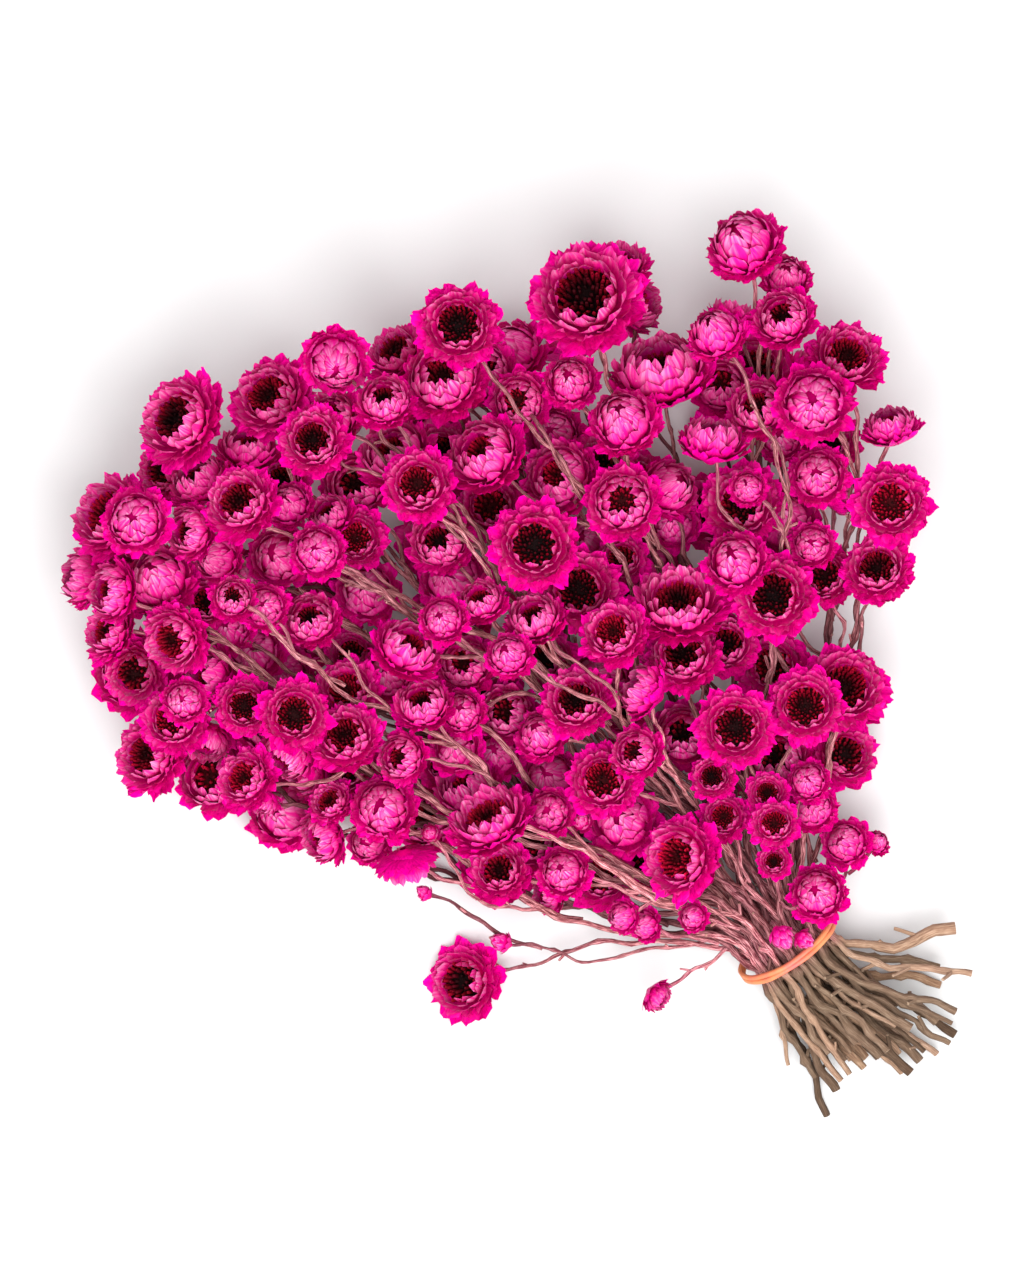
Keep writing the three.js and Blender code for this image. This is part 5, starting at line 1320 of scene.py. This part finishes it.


# Dry stems: dusky rose brown above the band, tan below it, light where they are cut, with painted shade
# darkening them deep inside the bunch
def stem_material():
    look = Shader("stems")
    tone, along, across = look.value("tone"), look.value("along"), look.value("across")
    place = look.node("TexCoord").outputs["Object"]
    patches = look.noise(place, 90.0, 3.0)
    turn = look.math("MULTIPLY", across, 2 * math.pi)
    fibre_place = look.math("ADD", look.math("MULTIPLY", along, 9.0), look.math("MULTIPLY", tone, 50.0))
    fibre_spot = look.spot(look.math("MULTIPLY", look.math("SINE", turn), 1.3),
                           look.math("MULTIPLY", look.math("COSINE", turn), 1.3), fibre_place)
    fibres = look.noise(fibre_spot, 3.2, 5.0, 0.6)
    patchy = look.scaled(patches, 0.0, 1.0)
    colour = look.mix(patchy, look.ramp(fibres, ROSE), look.ramp(fibres, OLIVE))
    colour = look.multiply(1.0, colour, look.ramp(tone, PALLOR))
    colour = look.mix(look.math("MULTIPLY", look.value("blush"), 0.55), colour, BLUSH)
    tan = look.mix(look.math("MULTIPLY", patchy, 0.5), look.ramp(fibres, TAN), TAN_PATCH)
    tan = look.multiply(1.0, tan, look.ramp(tone, TAN_SHADE))
    colour = look.mix(look.value("tan"), colour, tan)
    # The crimson stem, then painted shade on the stems deep inside the bunch, then the light cut ends
    for name, share, shade in (("crimson", 0.8, CRIMSON), ("painted_shade", 0.75, PAINTED_SHADE_BROWN), ("cut", 0.5, CUT_WOOD)):
        colour = look.mix(look.math("MULTIPLY", look.value(name), share), colour, shade)
    look.set(Base_Color=colour, Roughness=look.scaled(fibres, 0.6, 0.85), Specular_IOR_Level=0.15)
    look.bump(look.math("ADD", fibres, look.math("MULTIPLY", patches, 0.6)), 0.7, 0.0005)
    return look.material


# Rubber: orange with yellow and pinkish patches, worn matt
def rubber_material():
    look = Shader("rubber")
    place = look.node("TexCoord").outputs["Object"]
    patches = look.noise(place, 140.0, 3.0)
    fine = look.noise(place, 1500.0, 4.0)
    colour = look.mix(look.math("MULTIPLY", fine, 0.3), look.ramp(patches, RUBBER), RUBBER_GRAIN)
    look.set(Base_Color=colour, Roughness=look.scaled(fine, 0.38, 0.6))
    look.bump(fine, 0.3, 0.0002)
    return look.material


def floor_material():
    look = Shader("floor")
    look.set(Base_Color=FLOOR_SHADE, Roughness=0.9, Specular_IOR_Level=0.1)
    return look.material


bract_look, disc_look = bract_material(), disc_material()
stem_look, rubber_look = stem_material(), rubber_material()

# The solids' frame: the middle of the band is at the same place in both
band_low, band_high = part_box("rubber_band")
band_middle = np.array((band_low + band_high) / 2) * 1000
shift = band_middle - (TIE_ASIDE, 0, TIE_HEIGHT)

# Dress each spray with its stems and its heads, and the band with its strands
for number, spray in enumerate(sprays):
    node = "spray_%02d" % (number + 1)
    random = np.random.default_rng(1000 + number)
    stems = Piece("stems_%02d" % (number + 1))
    add_stems(stems, number, random)
    stems_piece = stems.build(shift, [stem_look])
    flowers = Piece("heads_%02d" % (number + 1))
    bract_count = sum(sum(ring[0] for ring in RINGS[heads["kind"][k]]) + 2 for k in spray["heads"])
    cells = Cells(bract_count, 0, 0.8)
    specks = Cells(sum(DISCS.get(heads["kind"][k], (0, 0, 0))[2] for k in spray["heads"]) + 1, 0.8, 1)
    for k in spray["heads"]:
        add_head(flowers, cells, specks, heads["kind"][k], heads["centre"][k], heads["axis"][k],
                 heads["radius"][k], heads["level"][k], random)
    heads_piece = flowers.build(shift, [bract_look, disc_look])
    for piece, slot in ((stems_piece, "stems"), (heads_piece, "bracts")):
        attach(piece, "root")
        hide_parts(node)
band = Piece("band")
add_band(band, np.random.default_rng(7))
band_piece = band.build(shift, [rubber_look])
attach(band_piece, "root")
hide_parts("rubber_band")

# The pale surface that the bunch lies on
FLOOR_HALF = 4.0
FLOOR_DROP = 0.0003
floor_mesh = bpy.data.meshes.new("surface")
FLOOR_SIGNS = ((-1, -1), (1, -1), (1, 1), (-1, 1))
floor_corners = [(x * FLOOR_HALF, y * FLOOR_HALF, -FLOOR_DROP) for x, y in FLOOR_SIGNS]
floor_mesh.from_pydata(floor_corners, [], [(0, 1, 2, 3)])
floor_mesh.materials.append(floor_material())
floor = bpy.data.objects.new("surface", floor_mesh)
bpy.context.scene.collection.objects.link(floor)

# The camera looks straight down. The photo's upper edge lies 35 degrees clockwise from the stems' direction
PHOTO_TURN = math.radians(-35)
PHOTO_MIDDLE = (-13.7, 123.2, 40.0)
PHOTO_HIGH = 0.384
CAMERA_FAR = 4.0
SENSOR = 36
camera_data = bpy.data.cameras.new("camera")
camera_data.sensor_width = SENSOR
camera_data.lens = SENSOR * CAMERA_FAR / PHOTO_HIGH
camera_data.clip_end = 50
camera = bpy.data.objects.new("camera", camera_data)
target = (np.array(PHOTO_MIDDLE) + shift) / 1000
camera.location = (target[0], target[1], target[2] + CAMERA_FAR)
camera.rotation_euler = (0, 0, PHOTO_TURN)
bpy.context.scene.collection.objects.link(camera)
bpy.context.scene.camera = camera

# Soft studio light: a wide lamp low in the photo, a weak one opposite, and a pale surround
photo_right = np.array([math.cos(PHOTO_TURN), math.sin(PHOTO_TURN), 0])
photo_up = np.array([-math.sin(PHOTO_TURN), math.cos(PHOTO_TURN), 0])


def add_lamp(name, right, up, high, size, power):
    data = bpy.data.lights.new(name, "AREA")
    data.shape = "DISK"
    data.size = size
    data.energy = power
    lamp = bpy.data.objects.new(name, data)
    place = target + photo_right * right + photo_up * up + np.array([0, 0, high])
    lamp.location = place
    way = Vector(target - place)
    lamp.rotation_euler = way.to_track_quat("-Z", "Y").to_euler()
    bpy.context.scene.collection.objects.link(lamp)


for lamp_name, lamp_values in LAMPS.items():
    add_lamp(lamp_name, *lamp_values)
world = bpy.data.worlds.new("studio")
world.use_nodes = True
world.node_tree.nodes["Background"].inputs[0].default_value = (1, 1, 1, 1)
world.node_tree.nodes["Background"].inputs[1].default_value = WORLD_LIGHT
bpy.context.scene.world = world
bpy.context.scene.view_settings.view_transform = "Standard"
